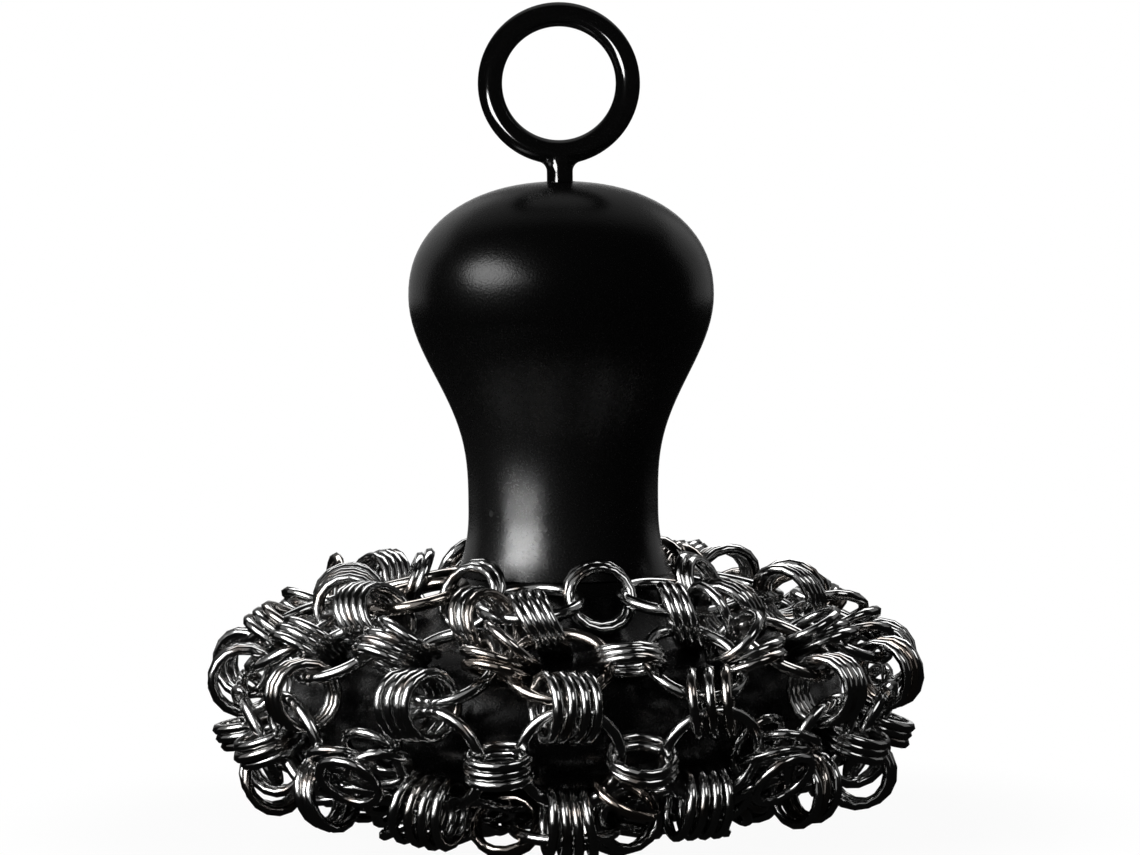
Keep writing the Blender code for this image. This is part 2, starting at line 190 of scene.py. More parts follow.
def make_world():
    world = bpy.data.worlds.new("studio")
    bpy.context.scene.world = world
    world.use_nodes = True
    tree = world.node_tree
    tree.nodes.clear()
    light_path = add_node(tree, "ShaderNodeLightPath")
    glossy = light_path.outputs["Is Glossy Ray"]
    direction = add_node(tree, "ShaderNodeTexCoord").outputs["Generated"]
    mirrored = math_node(tree, "MAXIMUM", glow_towards(tree, direction, *BACKDROP),
                         glow_towards(tree, direction, *CEILING_GLOW))
    mirrored = math_node(tree, "MAXIMUM", mirrored, ROOM_DARK)
    matt = math_node(tree, "SUBTRACT", 1.0, glossy)
    room = math_node(tree, "ADD", math_node(tree, "MULTIPLY", glossy, mirrored),
                     math_node(tree, "MULTIPLY", matt, ROOM_GREY))
    strength = math_node(tree, "MAXIMUM", seen_directly(tree, light_path), room)
    background = add_node(tree, "ShaderNodeBackground", {"Color": (1, 1, 1, 1), "Strength": strength})
    add_node(tree, "ShaderNodeOutputWorld", {"Surface": background.outputs["Background"]})
    print("world nodes", len(tree.nodes))


make_world()
bpy.context.scene.view_settings.view_transform = "Standard"

# %% [markdown]
# The floor is a pale disc that turns into its own glow away from the object, so that no horizon shows.
# It keeps a little of the object's shadow. Mirrors don't show it, because in the photograph the
# undersides of the rings are dark.

# %% Floor
FLOOR_RADIUS = 1.6
FLOOR_SIDES = 64
FLOOR_WHITE = 0.85
FLOOR_ROUGHNESS = 0.9
FLOOR_GLOW = 0.95               # share of the floor that the camera sees as pure white, near the object
GLOW_START = 0.05               # from here outwards that share grows
GLOW_FULL = 0.085


def floor_material():
    material = bpy.data.materials.new("floor")
    material.use_nodes = True
    tree = material.node_tree
    shader = tree.nodes["Principled BSDF"]
    shader.inputs["Base Color"].default_value = (FLOOR_WHITE, FLOOR_WHITE, FLOOR_WHITE, 1)
    shader.inputs["Roughness"].default_value = FLOOR_ROUGHNESS
    place = add_node(tree, "ShaderNodeTexCoord").outputs["Object"]
    reach = add_node(tree, "ShaderNodeVectorMath", {0: place}, operation="LENGTH").outputs["Value"]
    fade = smooth_step(tree, reach, From_Min=GLOW_START, From_Max=GLOW_FULL, To_Min=FLOOR_GLOW)
    share = math_node(tree, "MULTIPLY", seen_directly(tree, add_node(tree, "ShaderNodeLightPath")), fade)
    glow = add_node(tree, "ShaderNodeEmission").outputs["Emission"]
    mix = add_node(tree, "ShaderNodeMixShader", {"Fac": share, 1: shader.outputs["BSDF"], 2: glow})
    tree.links.new(mix.outputs["Shader"], tree.nodes["Material Output"].inputs["Surface"])
    return material


bpy.ops.mesh.primitive_circle_add(vertices=FLOOR_SIDES, radius=FLOOR_RADIUS, fill_type="NGON")
floor = bpy.context.object
floor.name = "floor"
floor.data.materials.append(floor_material())
floor.visible_glossy = False
floor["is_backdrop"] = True
print("floor", 2 * FLOOR_RADIUS, "m across")

# %% [markdown]
# The lamps are soft boxes. Their brightness is written as what a mirror would show of them, with 1 for
# white, and the power that Blender wants follows from the size: a matt lamp of brightness 1 gives pi
# watts a square metre. Gloss mirrors the shape of a lamp: an elliptic one leaves a round highlight, and a
# rectangular one has straight edges. Which lamp lights which piece is settled at the end.

# %% Lamps
NECK_AZIMUTH = -49
NECK_AIM = 42 * MM
EYE_AIM = 95 * MM


def soft_box(name, azimuth, elevation, distance, width, height, brightness, shape="ELLIPSE",
             aim=MIDDLE_HEIGHT):
    """An area lamp aimed at a height on the axis; azimuth 0 is the camera's side and 90 the right."""
    side, rise = math.radians(azimuth), math.radians(elevation)
    outward = Vector((math.sin(side) * math.cos(rise), -math.cos(side) * math.cos(rise), math.sin(rise)))
    data = bpy.data.lights.new(name, "AREA")
    data.shape = shape
    data.size = width
    data.size_y = height
    fill = math.pi / 4 if shape == "ELLIPSE" else 1
    data.energy = brightness * math.pi * fill * width * height
    lamp = new_object(name, data)
    lamp.location = Vector((0, 0, aim)) + outward * distance
    lamp.rotation_euler = outward.to_track_quat("Z", "Y").to_euler()
    lamp.visible_camera = False
    return lamp


# Azimuth, elevation, distance, width, height and brightness; some add a shape and the height aimed at
LAMPS = {
    "key_box": (-60, 26, 0.7, 0.44, 0.32, 6.5),
    "lobe_box": (-36, 24, 0.7, 0.2, 0.16, 2.0),
    "neck_box": (NECK_AZIMUTH, 9, 0.3, 0.22, 0.14, 17.0, "RECTANGLE", NECK_AIM),
    "left_edge": (-146, 10, 0.7, 0.6, 0.6, 0.3, "RECTANGLE"),
    "right_edge": (138, 14, 0.7, 0.5, 0.5, 0.25, "RECTANGLE"),
    "left_panel": (-90, 16, 0.8, 0.8, 0.7, 0.3, "RECTANGLE"),
    "right_panel": (112, 24, 0.7, 0.5, 0.5, 0.3, "RECTANGLE"),
    "ring_box": (-52, 24, 0.7, 0.74, 0.6, 4.8),
    "shoulder_panel": (-44, 26, 0.75, 1.3, 1.1, 0.5, "RECTANGLE"),
    "rim_box": (176, 50, 0.7, 0.9, 0.3, 4.4, "RECTANGLE"),
    "fill_box": (42, 38, 0.7, 0.36, 0.3, 3.2),
    "eye_box": (-28, -14, 0.3, 0.15, 0.1, 7.0, "ELLIPSE", EYE_AIM),
}
lamps = {name: soft_box(name, *values) for name, values in LAMPS.items()}
print("lamps", len(lamps))

# %% [markdown]
# Sizes of the bag. It repeats the rule of the CAD model, from the same sizes: a row is a circle of equal
# rings, given by its radius, its height and its slope, and each row hangs on the one below it.

# %% Sizes of the bag
COLUMNS = 14                    # large rings round the side; the neck and the inner base have half as many
HALF_COLUMN = math.pi / COLUMNS
LARGE_RADIUS = 6.4 * MM
LARGE_WIRE = 1.7 * MM
SMALL_RADIUS = 4.15 * MM
SMALL_WIRE = 1.4 * MM
TAUT_GAP = 5.7 * MM             # between two large wires that one clip holds together
SWIVEL_GAP = 3.6 * MM           # the same at the side clips
BASE_GAP = 2.0 * MM             # the same in the outer row under the core
INNER_GAP = 4.4 * MM            # the same round the middle ring of the base
NECK_SLOPE = 15.0
UPPER_SLOPE = 36.0
SIDE_CLIP_SLOPE = 80.0
LOWER_SLOPE = 104.0
BASE_SLOPE = -4.0
NECK_RISE = 4.0 * MM
INNER_HEIGHT = 6.0 * MM
BASE_ROW_HEIGHT = 5.6 * MM
CLIP_OUTER = 4.8 * MM           # outer radius of a clip of the CAD model
CLIP_PUSH = 1.0 * MM            # how far such a clip stands out of the mesh
CLIP_FLAT = CLIP_OUTER * math.cos(math.pi / 8)
BASE_CLIP_LEAN = 65.0           # from upright, where a lower ring pulls on its base clip
BASE_CLIP_RISE = 1.0 * MM
WELD_REACH = 3.4 * MM           # from the middle of that clip to the lower ring

# %% [markdown]
# The rows follow each other upwards. The lower rings stand on their clips, the side clips hold the upper
# rings on them, and the neck rings lie as far in as the wires between them reach.

# %% Rows of the bag


def down_slope(point, length, slope):
    """The (radius, height) reached from a point of the meridian by going down a slope, outwards."""
    angle = math.radians(slope)
    return (point[0] + length * math.cos(angle), point[1] - length * math.sin(angle))


LOWER_RADIUS = (2 * LARGE_RADIUS + TAUT_GAP) / (2 * math.sin(HALF_COLUMN))
LOWER_END_RADIUS = down_slope((LOWER_RADIUS, 0), LARGE_RADIUS, LOWER_SLOPE)[0]
BASE_CLIP_HEIGHT = CLIP_FLAT + BASE_CLIP_RISE
LOWER_END = (LOWER_END_RADIUS, BASE_CLIP_HEIGHT + WELD_REACH * math.cos(math.radians(BASE_CLIP_LEAN)))
LOWER_ROW = down_slope(LOWER_END, -LARGE_RADIUS, LOWER_SLOPE)
LOWER_TOP = down_slope(LOWER_ROW, -LARGE_RADIUS, LOWER_SLOPE)
UPPER_END = down_slope(LOWER_TOP, -SWIVEL_GAP, SIDE_CLIP_SLOPE)
UPPER_ROW = down_slope(UPPER_END, -LARGE_RADIUS, UPPER_SLOPE)
UPPER_TOP = down_slope(UPPER_ROW, -LARGE_RADIUS, UPPER_SLOPE)
NECK_REACH = math.sqrt((LARGE_RADIUS + TAUT_GAP) ** 2 - NECK_RISE ** 2
                       - (UPPER_TOP[0] * math.sin(HALF_COLUMN)) ** 2)
NECK_ROW = (UPPER_TOP[0] * math.cos(HALF_COLUMN) - NECK_REACH, UPPER_TOP[1] + NECK_RISE)
BASE_ROW = ((2 * LARGE_RADIUS + BASE_GAP) / (2 * math.sin(HALF_COLUMN)), BASE_ROW_HEIGHT)
INNER_ROW = (2 * LARGE_RADIUS + INNER_GAP, INNER_HEIGHT)
print("rows, mm:", [tuple(round(value / MM, 1) for value in row)
                    for row in (NECK_ROW, UPPER_ROW, LOWER_ROW, BASE_ROW, INNER_ROW)])

# %% [markdown]
# Large rings first. A ring is a place, an axis, a radius, a wire and the body that it rides on, so plain
# lists hold the whole bag.

# %% Large rings
rings = {"place": [], "axis": [], "radius": [], "wire": [], "body": []}
UP = np.array([0, 0, 1])


def add_ring(place, axis, radius, wire, body):
    """Adds a ring to the lists and returns its number. The wire is listed by its radius."""
    for name, value in zip(rings, (np.array(place), np.array(axis), radius, wire / 2, body)):
        rings[name].append(value)
    return len(rings["place"]) - 1


def ring_row(row, slope, count, first):
    """A circle of large rings; azimuths count from the front in column steps."""
    angle = math.radians(slope)
    numbers = []
    for i in range(count):
        azimuth = -math.pi / 2 + first * 2 * HALF_COLUMN + i * 2 * math.pi / count
        outward = np.array([math.cos(azimuth), math.sin(azimuth), 0])
        middle = outward * row[0] + UP * row[1]
        axis = outward * math.sin(angle) + UP * math.cos(angle)
        numbers.append(add_ring(middle, axis, LARGE_RADIUS, LARGE_WIRE, "ring_bag"))
    return numbers


pairs = COLUMNS // 2
neck = ring_row(NECK_ROW, NECK_SLOPE, pairs, -0.5)
upper = ring_row(UPPER_ROW, UPPER_SLOPE, COLUMNS, 0)
lower = ring_row(LOWER_ROW, LOWER_SLOPE, COLUMNS, 0)
base = ring_row(BASE_ROW, BASE_SLOPE, COLUMNS, 0)
inner = ring_row(INNER_ROW, 0, pairs, 0.5)
middle_ring = add_ring((0, 0, INNER_HEIGHT), UP, LARGE_RADIUS, LARGE_WIRE, "ring_bag")
print("large rings", len(rings["place"]))

# %% [markdown]
# Clips come next. Each is a stack of small rings round the nearest stretches of two large wires, and it
# can lie in many ways: turned about the pull of the wires, turned in the mesh, or fallen over.

# %% A clip
clips = []
swings = []                     # the rings, the pivot and the axis of each side clip
chance = np.random.default_rng(11)


def rim_point(ring, towards):
    """The point of a ring's wire that is nearest to another point."""
    place, axis = rings["place"][ring], rings["axis"][ring]
    aim = towards - place
    aim = aim - axis * aim.dot(axis)
    return place + aim / np.linalg.norm(aim) * rings["radius"][ring]


def turned_about(vector, axis, angle):
    """A vector turned round an axis by an angle in degrees."""
    return np.array(Matrix.Rotation(math.radians(angle), 3, Vector(axis)) @ Vector(vector))


def add_clip(first, second, kind, body, count=3, roll=0, yaw=0, lean=0, fan=6, pitch=1.2, push=0):
    """Small rings side by side round two wires. Roll turns the stack about the line between the wires and
    yaw about the way out of the mesh; lean tips the rings like fallen dominoes, and fan is how far each
    one strays from its neighbours. Pitch is their distance in wires, and push moves the stack outwards."""
    start = rim_point(first, rings["place"][second])
    end = rim_point(second, start)
    start = rim_point(first, end)
    pull = (start - end) / np.linalg.norm(start - end)
    normal = rings["axis"][first] + rings["axis"][second]
    normal = normal - pull * normal.dot(pull)
    normal /= np.linalg.norm(normal)
    row_axis = turned_about(turned_about(np.cross(pull, normal), pull, roll), normal, yaw)
    axis = turned_about(row_axis, pull, lean)
    middle = (start + end) / 2 + normal * push
    numbers = []
    for i in range(count):
        step = (i - (count - 1) / 2) * SMALL_WIRE * pitch / math.cos(math.radians(lean))
        own_axis = turned_about(axis, pull, chance.normal(0, fan))
        own_axis = turned_about(own_axis, normal, chance.normal(0, fan))
        numbers.append(add_ring(middle + row_axis * step, own_axis, SMALL_RADIUS, SMALL_WIRE, body))
    clips.append((kind, first, second, numbers))
    if kind == "side":
        swings.append((numbers, middle, pull))


# %% [markdown]
# The front of the bag is laid clip by clip, as the photograph shows it: how many rings each clip has, and
# how they lie. Columns count from the front towards the right, up to 13, or up to 6 in the neck row.

# %% Clips at the front
LAID = {
    ("neck", 0): dict(count=2, yaw=6, lean=30, fan=3, push=-0.8 * MM),
    ("neck", 5): dict(count=2, roll=55, fan=3, pitch=1.1),
    ("neck_upper", 0): dict(count=4, lean=30, pitch=1.05, fan=3, push=1.2 * MM),
    ("neck_upper", 1): dict(count=4, lean=34, pitch=1.1, fan=3, push=1.0 * MM),
    ("neck_upper", 13): dict(count=3, lean=26, pitch=1.1, push=0.6 * MM),
    ("neck_upper", 2): dict(count=4, lean=30, pitch=1.1, push=0.6 * MM),
    ("upper", 13): dict(count=3, roll=-40, yaw=-26, pitch=1.1, fan=4, push=1.0 * MM),
    ("upper", 0): dict(count=3, roll=-48, pitch=1.45, fan=3),
    ("upper", 1): dict(count=3, roll=-45, yaw=12, pitch=1.4),
    ("upper", 12): dict(count=4, roll=-40, yaw=-10, pitch=1.1, fan=3),
    ("side", 0): dict(count=4, roll=-24, pitch=1.3, fan=2),
    ("side", 1): dict(count=3, roll=20, lean=8, pitch=1.5, fan=3),
    ("side", 2): dict(count=4, roll=-12, pitch=1.05, fan=2),
    ("side", 13): dict(count=4, roll=24, pitch=1.25, fan=2),
    ("side", 12): dict(count=3, roll=20, pitch=1.3, fan=2),
    ("lower", 13): dict(count=3, roll=4, pitch=1.7, fan=2),
    ("lower", 0): dict(count=3, roll=-6, pitch=1.9, fan=5),
    ("lower", 12): dict(count=4, roll=62, yaw=10, pitch=1.1, fan=3),
    ("lower", 1): dict(count=4, roll=60, yaw=-14, pitch=1.15, fan=4),
    ("lower", 2): dict(count=3, roll=6, yaw=-10, pitch=1.5, fan=3),
    ("base", 13): dict(count=2, roll=42, yaw=-8, pitch=1.2),
    ("base", 0): dict(count=2, roll=-38, yaw=10, pitch=1.2),
    ("base", 12): dict(count=1, roll=48, yaw=14),
    ("base", 1): dict(count=1, roll=-46, yaw=-14),
    ("base", 11): dict(count=1, roll=50),
    ("base", 2): dict(count=1, roll=-50),
    ("lower_base", 0): dict(count=4, lean=6, pitch=1.25, fan=7, push=-1.0 * MM),
    ("lower_base", 13): dict(count=4, lean=-4, pitch=1.25, fan=6, push=-0.3 * MM),
    ("lower_base", 1): dict(count=4, lean=-14, pitch=1.3, fan=6, push=-0.3 * MM),
}
print("clips laid by hand", len(LAID))

# %% [markdown]
# Little or nothing is seen of the bag's sides and back, so chance lays the clips there. Every clip draws
# the numbers of all kinds, whether or not it is listed, and uses those it needs.

# %% Lay the clips


def loose_ways(column):
    """How a clip of each kind lies when chance lays it."""
    either = 1 if chance.random() < 0.5 else -1
    return {
        "neck": dict(count=2, yaw=chance.normal(0, 8), lean=30, fan=5, pitch=1.1, push=-0.8 * MM),
        "neck_upper": dict(count=4 if column % 3 else 5, lean=chance.uniform(18, 38), fan=3, pitch=1.05,
                           push=0.6 * MM),
        "upper": dict(roll=chance.uniform(-55, -10), yaw=chance.normal(0, 12),
                      pitch=chance.uniform(1.1, 1.6), fan=4),
        "side": dict(roll=either * chance.uniform(6, 24), pitch=chance.uniform(1.1, 1.4), fan=2),
        "lower": dict(roll=chance.normal(0, 14), yaw=chance.normal(0, 8), pitch=chance.uniform(1.2, 1.7)),
        "lower_base": dict(lean=either * chance.uniform(0, 12), pitch=chance.uniform(1.1, 1.3), fan=4,
                           push=-2.4 * MM),
        "base": dict(count=1 + column % 2, roll=chance.normal(0, 8), yaw=chance.normal(0, 12), pitch=1.2),
        "inner": dict(count=3, roll=either * chance.uniform(58, 72), yaw=chance.normal(0, 12), pitch=1.1),
    }


def lay_clip(first, second, kind, column, body="ring_bag"):
    """A clip as it was laid at the front, or one that chance lays."""
    loose_way = loose_ways(column)[kind]
    add_clip(first, second, kind, body, **LAID.get((kind, column), loose_way))


for i in range(pairs):
    lay_clip(neck[i], neck[(i + 1) % pairs], "neck", i)
for i in range(COLUMNS):
    following = (i + 1) % COLUMNS
    lay_clip(upper[i], neck[(i + 1) // 2 % pairs], "neck_upper", i)
    lay_clip(upper[i], upper[following], "upper", i)
    lay_clip(lower[i], upper[i], "side", i, f"side_clip_{i + 1:02d}")
    lay_clip(lower[i], lower[following], "lower", i)
    lay_clip(lower[i], base[i], "lower_base", i)
    lay_clip(base[i], base[following], "base", i)
    lay_clip(base[i], inner[i // 2], "inner", i)
for i in range(pairs):
    lay_clip(inner[i], inner[(i + 1) % pairs], "inner", i)
    lay_clip(inner[i], middle_ring, "inner", i)
print("clips", len(clips), "rings in all", len(rings["place"]))

# %% [markdown]
# The bag isn't drawn up evenly: in the photograph, its lower part sits a little higher at both sides than
# at the front.

# %% Lift the sides
SIDE_LIFT = 3.8 * MM
LIFT_SPREAD = math.radians(27)  # so far from the front and the back the lift is two thirds of that
LIFT_TOP = 17 * MM              # above this nothing is lifted, and below the next all of it is
LIFT_FULL = 5 * MM
for ring_place in rings["place"]:
    azimuth = abs(math.atan2(ring_place[0], -ring_place[1]))
    share = 1 - math.exp(-(azimuth / LIFT_SPREAD) ** 2) - math.exp(-((math.pi - azimuth) / LIFT_SPREAD) ** 2)
    share *= min(1, max(0, (LIFT_TOP - ring_place[2]) / (LIFT_TOP - LIFT_FULL)))
    share *= min(1, math.hypot(ring_place[0], ring_place[1]) / BASE_ROW[0])
    ring_place[2] += SIDE_LIFT * share
print("lowest ring, mm", round(min(ring_place[2] for ring_place in rings["place"]) / MM, 2))

# %% [markdown]
# The rings lie on the core and on the foot of the handle, so their outline is needed before the bag can
# settle: a shoulder that falls to a rounded rim, and a smaller round below. The sizes are the CAD model's.
# A few points are enough to hold the rings up. The same functions draw the core itself later, with more.

# %% Outline of the core and the foot of the handle
FIT_GAP = 0.3 * MM
RIM_ROUND = 10.0 * MM
UNDER_ROUND = 6.0 * MM
NECK_RADIUS = 12.45 * MM
FOOT_RADIUS = 14.1 * MM
NECK_FLARE = 8.7 * MM
core_low, core_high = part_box("core")
CORE_RADIUS = core_high.x
CORE_BOTTOM, CORE_TOP = core_low.z, core_high.z
FOOT_HEIGHT = CORE_TOP + FIT_GAP
SHOULDER_POINTS = 6
ROUND_POINTS = 8
FLARE_MIDDLE = (NECK_RADIUS + 0.4 * MM, FOOT_HEIGHT + 4 * MM)
RIM_RADIUS = CORE_RADIUS - RIM_ROUND
CLIP_DEPTH = CLIP_OUTER - CLIP_PUSH + FIT_GAP
RIM_OFFSET = UPPER_ROW[0] * math.cos(HALF_COLUMN) - RIM_RADIUS
RIM_HEIGHT = UPPER_ROW[1] - (RIM_ROUND + CLIP_DEPTH - RIM_OFFSET * math.sin(math.radians(UPPER_SLOPE))
                             ) / math.cos(math.radians(UPPER_SLOPE))


def arc(centre, radius, start, end, steps):
    """Points of an arc in a profile, in degrees from outwards, both ends included."""
    angles = [math.radians(start + (end - start) * i / steps) for i in range(steps + 1)]
    return [(centre[0] + radius * math.cos(angle), centre[1] + radius * math.sin(angle)) for angle in angles]


def shoulder(steps):
    """The top of the core, from the handle's foot out to its rounded rim."""
    rim_top = RIM_HEIGHT + RIM_ROUND
    shares = [1 - i / steps for i in range(steps)]
    return [(RIM_RADIUS - (RIM_RADIUS - FOOT_RADIUS) * share, rim_top + (CORE_TOP - rim_top) * share ** 2)
            for share in shares]


def core_side(steps):
    rim = arc((RIM_RADIUS, RIM_HEIGHT), RIM_ROUND, 90, 0, steps)
    under = arc((CORE_RADIUS - UNDER_ROUND, CORE_BOTTOM + UNDER_ROUND), UNDER_ROUND, 0, -90, steps)
    return rim + under


outline = np.array([(NECK_RADIUS, FOOT_HEIGHT + NECK_FLARE), FLARE_MIDDLE]
                   + shoulder(SHOULDER_POINTS) + core_side(ROUND_POINTS) + [(0, CORE_BOTTOM)])
print("core radius, bottom, top, mm", [round(size / MM, 2) for size in (CORE_RADIUS, CORE_BOTTOM, CORE_TOP)])

# %% [markdown]
# Now the bag settles. Each ring is a rigid circle of wire. In a step every ring sinks a little, and where
# two wires are nearer than their thickness, or a wire is in the core or the ground, the rings are pushed
# apart and turned by the push. A physics engine would do the same with thousands of small hulls; two
# circles need only the nearest points of each other. All rings are handled at once, as arrays. A side clip
# is held still and others make room for it, also where it swings to: thin stand-ins lie there.

# %% Rings as arrays
SWIVEL = math.radians(20)       # a side clip swings so far either way
DRAWN_TIGHT = 31 * MM           # the net within this radius under the core is tight and doesn't sink
for numbers, pivot, pull in swings:
    for angle in (-SWIVEL, SWIVEL):
        turn = np.array(Matrix.Rotation(angle, 3, Vector(pull)))
        for number in numbers:
            swung = pivot + turn @ (rings["place"][number] - pivot)
            add_ring(swung, turn @ rings["axis"][number], SMALL_RADIUS, SMALL_WIRE / 2, "swung clip")

place, axis, radius, wire = (np.array(rings[name]) for name in ("place", "axis", "radius", "wire"))
axis /= np.linalg.norm(axis, axis=1)[:, None]
loose = np.array([body == "ring_bag" for body in rings["body"]])
sinking = loose & ((np.hypot(place[:, 0], place[:, 1]) > DRAWN_TIGHT) | (place[:, 2] > CORE_BOTTOM))
weight = radius * wire ** 2
weight /= weight.min()
ease = np.where(loose, 1 / weight, 0)
turn_ease = np.where(loose, 2 / (weight * radius ** 2), 0)
print("rings that may move", loose.sum(), "stand-ins", rings["body"].count("swung clip"))

# %% [markdown]
# Three questions come up in every step: which point of a ring is nearest to a given one, where points lie
# round each ring, and which rings are near enough to touch. Arrays answer them for all rings at once.

# %% Points of the rings
SAMPLES = 16                    # points tried on each ring
TINY = 1e-9                     # keeps a length from being zero where it divides


def nearest_on(points, place, axis, radius):
    """The nearest points of some rings' circles to given points."""
    offset = points - place
    offset = offset - axis * (offset * axis).sum(-1, keepdims=True)
    return place + offset / np.maximum(np.linalg.norm(offset, axis=-1, keepdims=True), TINY) * radius


def circle_points(count):
    """Points round every ring, as (rings, count, 3)."""
    angles = np.arange(count) * 2 * math.pi / count
    helper = np.where(np.abs(axis[:, :1]) < 0.9, np.array([[1.0, 0, 0]]), np.array([[0, 1.0, 0]]))
    first = np.cross(axis, helper)
    first /= np.linalg.norm(first, axis=1)[:, None]
    second = np.cross(axis, first)
    around = np.cos(angles)[None, :, None] * first[:, None] + np.sin(angles)[None, :, None] * second[:, None]
    return place[:, None] + radius[:, None, None] * around


def near_pairs(margin):
    """Pairs of rings that are close enough to touch soon."""
    apart = np.linalg.norm(place[:, None] - place[None], axis=2)
    reach = (radius + wire)[:, None] + (radius + wire)[None] + margin
    both_fast = ~loose[:, None] & ~loose[None]
    return np.nonzero(np.triu((apart < reach) & ~both_fast, 1))


print("pairs of rings near each other", len(near_pairs(0)[0]))

# %% [markdown]
# Where do two wires touch? Points round the first ring are tried, and from the nearest one a few
# projections from circle to circle find the true place. Linked rings can touch at two places, so the
# nearest point well away from the first is followed as well.

# %% Contacts between wires
REFINEMENTS = 4
SKIN = 0.02 * MM                # kept between wires
FAR = 1.0                       # further than any two points of the bag


def wire_contacts(first, second, samples):
    """Where the wires of each pair are nearest, at up to two places, and how deep they overlap."""
    tries = samples[first]
    other = nearest_on(tries, place[second][:, None], axis[second][:, None], radius[second][:, None, None])
    apart = np.linalg.norm(tries - other, axis=2)
    rows = np.arange(len(first))
    best = apart.argmin(1)
    steps_off = np.abs((np.arange(SAMPLES)[None] - best[:, None] + SAMPLES // 2) % SAMPLES - SAMPLES // 2)
    second_best = np.where(steps_off < SAMPLES // 4, FAR, apart).argmin(1)
    found = []
    for pick in (best, second_best):
        there = other[rows, pick]
        for _ in range(REFINEMENTS):
            here = nearest_on(there, place[first], axis[first], radius[first][:, None])
            there = nearest_on(here, place[second], axis[second], radius[second][:, None])
        gap = here - there
        length = np.linalg.norm(gap, axis=1)
        depth = wire[first] + wire[second] + SKIN - length
        found.append((first, second, here, there, gap / np.maximum(length, TINY)[:, None], depth))
    return [np.concatenate([entry[part] for entry in found]) for part in range(6)]


contacts = wire_contacts(*near_pairs(0), circle_points(SAMPLES))
print("places where wires overlap before the bag settles", (contacts[5] > 0).sum())

# %% [markdown]
# The core is simpler. A point's distance from the axis and its height place it on the flat outline, and
# the nearest segment of the outline tells how deep it is and which way is out.

# %% Depth in the core
ON_LINE = 1e-7                  # nearer than this a point counts as on the outline


def outline_depth(points):
    """How deep points are in the core, and the way out, as (depth, direction)."""
    start, end = outline[:-1], outline[1:]
    run = end - start
    out = np.hypot(points[..., 0], points[..., 1])
    flat = np.stack([out, points[..., 2]], -1)
    along = np.clip(((flat[..., None, :] - start) * run).sum(-1) / (run ** 2).sum(1), 0, 1)
    offset = flat[..., None, :] - (start + along[..., None] * run)
    apart = np.linalg.norm(offset, axis=-1)
    pick = apart.argmin(-1)
    offset = np.take_along_axis(offset, pick[..., None, None], -2)[..., 0, :]
    apart = np.take_along_axis(apart, pick[..., None], -1)[..., 0]
    facing = np.stack([-run[pick][..., 1], run[pick][..., 0]], -1)
    facing /= np.linalg.norm(facing, axis=-1, keepdims=True)
    outside = (offset * facing).sum(-1) >= 0
    clear = (apart > ON_LINE)[..., None]
    way = np.where(clear, offset / np.maximum(apart, ON_LINE)[..., None], facing)
    way = np.where(outside[..., None] | ~clear, way, -way)
    level = points[..., :2] / np.maximum(out, TINY)[..., None] * way[..., :1]
    return np.where(outside, -apart, apart), np.concatenate([level, way[..., 1:]], -1)


print("points of rings in the core", (outline_depth(circle_points(SAMPLES))[0] > 0).sum())

# %% [markdown]
# A step of the settling. A push at a contact moves a ring and turns it, as much as its weight and its
# spread of weight allow, and when many push on one ring, they share the work.

# %% One step
SINK = 0.01 * MM                # of every ring, each step
PUSH_SHARE = 1.4                # pushes on one ring beyond this many are averaged
GROUND_GAP = 0.1 * MM


def settle_step(first, second, sink):
    """Sinks every loose ring, then clears wires from wires, the core and the ground."""
    global place, axis
    place = place - np.array([0, 0, sink]) * sinking[:, None]
    moved, turned_by, count = np.zeros_like(place), np.zeros_like(place), np.zeros(len(place))

    def push(rows, points, way, size):
        swing = np.cross(points - place[rows], way)
        np.add.at(moved, rows, way * (size * ease[rows])[:, None])
        np.add.at(turned_by, rows, swing * (size * turn_ease[rows])[:, None])
        np.add.at(count, rows, 1)

    def resistance(rows, points, way):
        return ease[rows] + (np.cross(points - place[rows], way) ** 2).sum(1) * turn_ease[rows]

    samples = circle_points(SAMPLES)
    a, b, here, there, way, depth = wire_contacts(first, second, samples)
    touching = depth > 0
    a, b, here, there, way, depth = (part[touching] for part in (a, b, here, there, way, depth))
    size = depth / (resistance(a, here, way) + resistance(b, there, -way))
    push(a, here, way, size)
    push(b, there, -way, size)
    worst = depth.max() if len(depth) else 0

    deep, out = outline_depth(samples)
    deep = deep + wire[:, None] + SKIN
    ground = wire[:, None] + GROUND_GAP - samples[..., 2]
    for depths, ways in ((deep, out), (ground, np.zeros_like(out) + UP)):
        pick = depths.argmax(1)
        rows = np.nonzero((depths.max(1) > 0) & loose)[0]
        points, way, depth = samples[rows, pick[rows]], ways[rows, pick[rows]], depths[rows, pick[rows]]
        push(rows, points, way, depth / resistance(rows, points, way))
    share = (PUSH_SHARE / np.maximum(count, PUSH_SHARE))[:, None]
    place = place + moved * share
    axis = axis + np.cross(turned_by * share, axis)
    axis /= np.linalg.norm(axis, axis=1)[:, None]
    return worst


# %% [markdown]
# After two hundred steps the rings lie on each other, with small overlaps left. The sinking stops before
# the end, so that the last steps only push wires apart.

# %% Settle
STEPS = 200
SINKING_SHARE = 0.75            # of the steps
LIST_EVERY = 20                 # steps between new lists of the pairs that are near each other
REPORT_EVERY = 40
NEAR = 1.0 * MM
for step in range(STEPS):
    if step % LIST_EVERY == 0:
        first, second = near_pairs(NEAR)
    settle_step(first, second, SINK if step < STEPS * SINKING_SHARE else 0)
    worst = settle_step(first, second, 0)
    if step % REPORT_EVERY == 0 or step == STEPS - 1:
        print("step", step, "pairs", len(first), "deepest overlap, mm", round(worst / MM, 3))

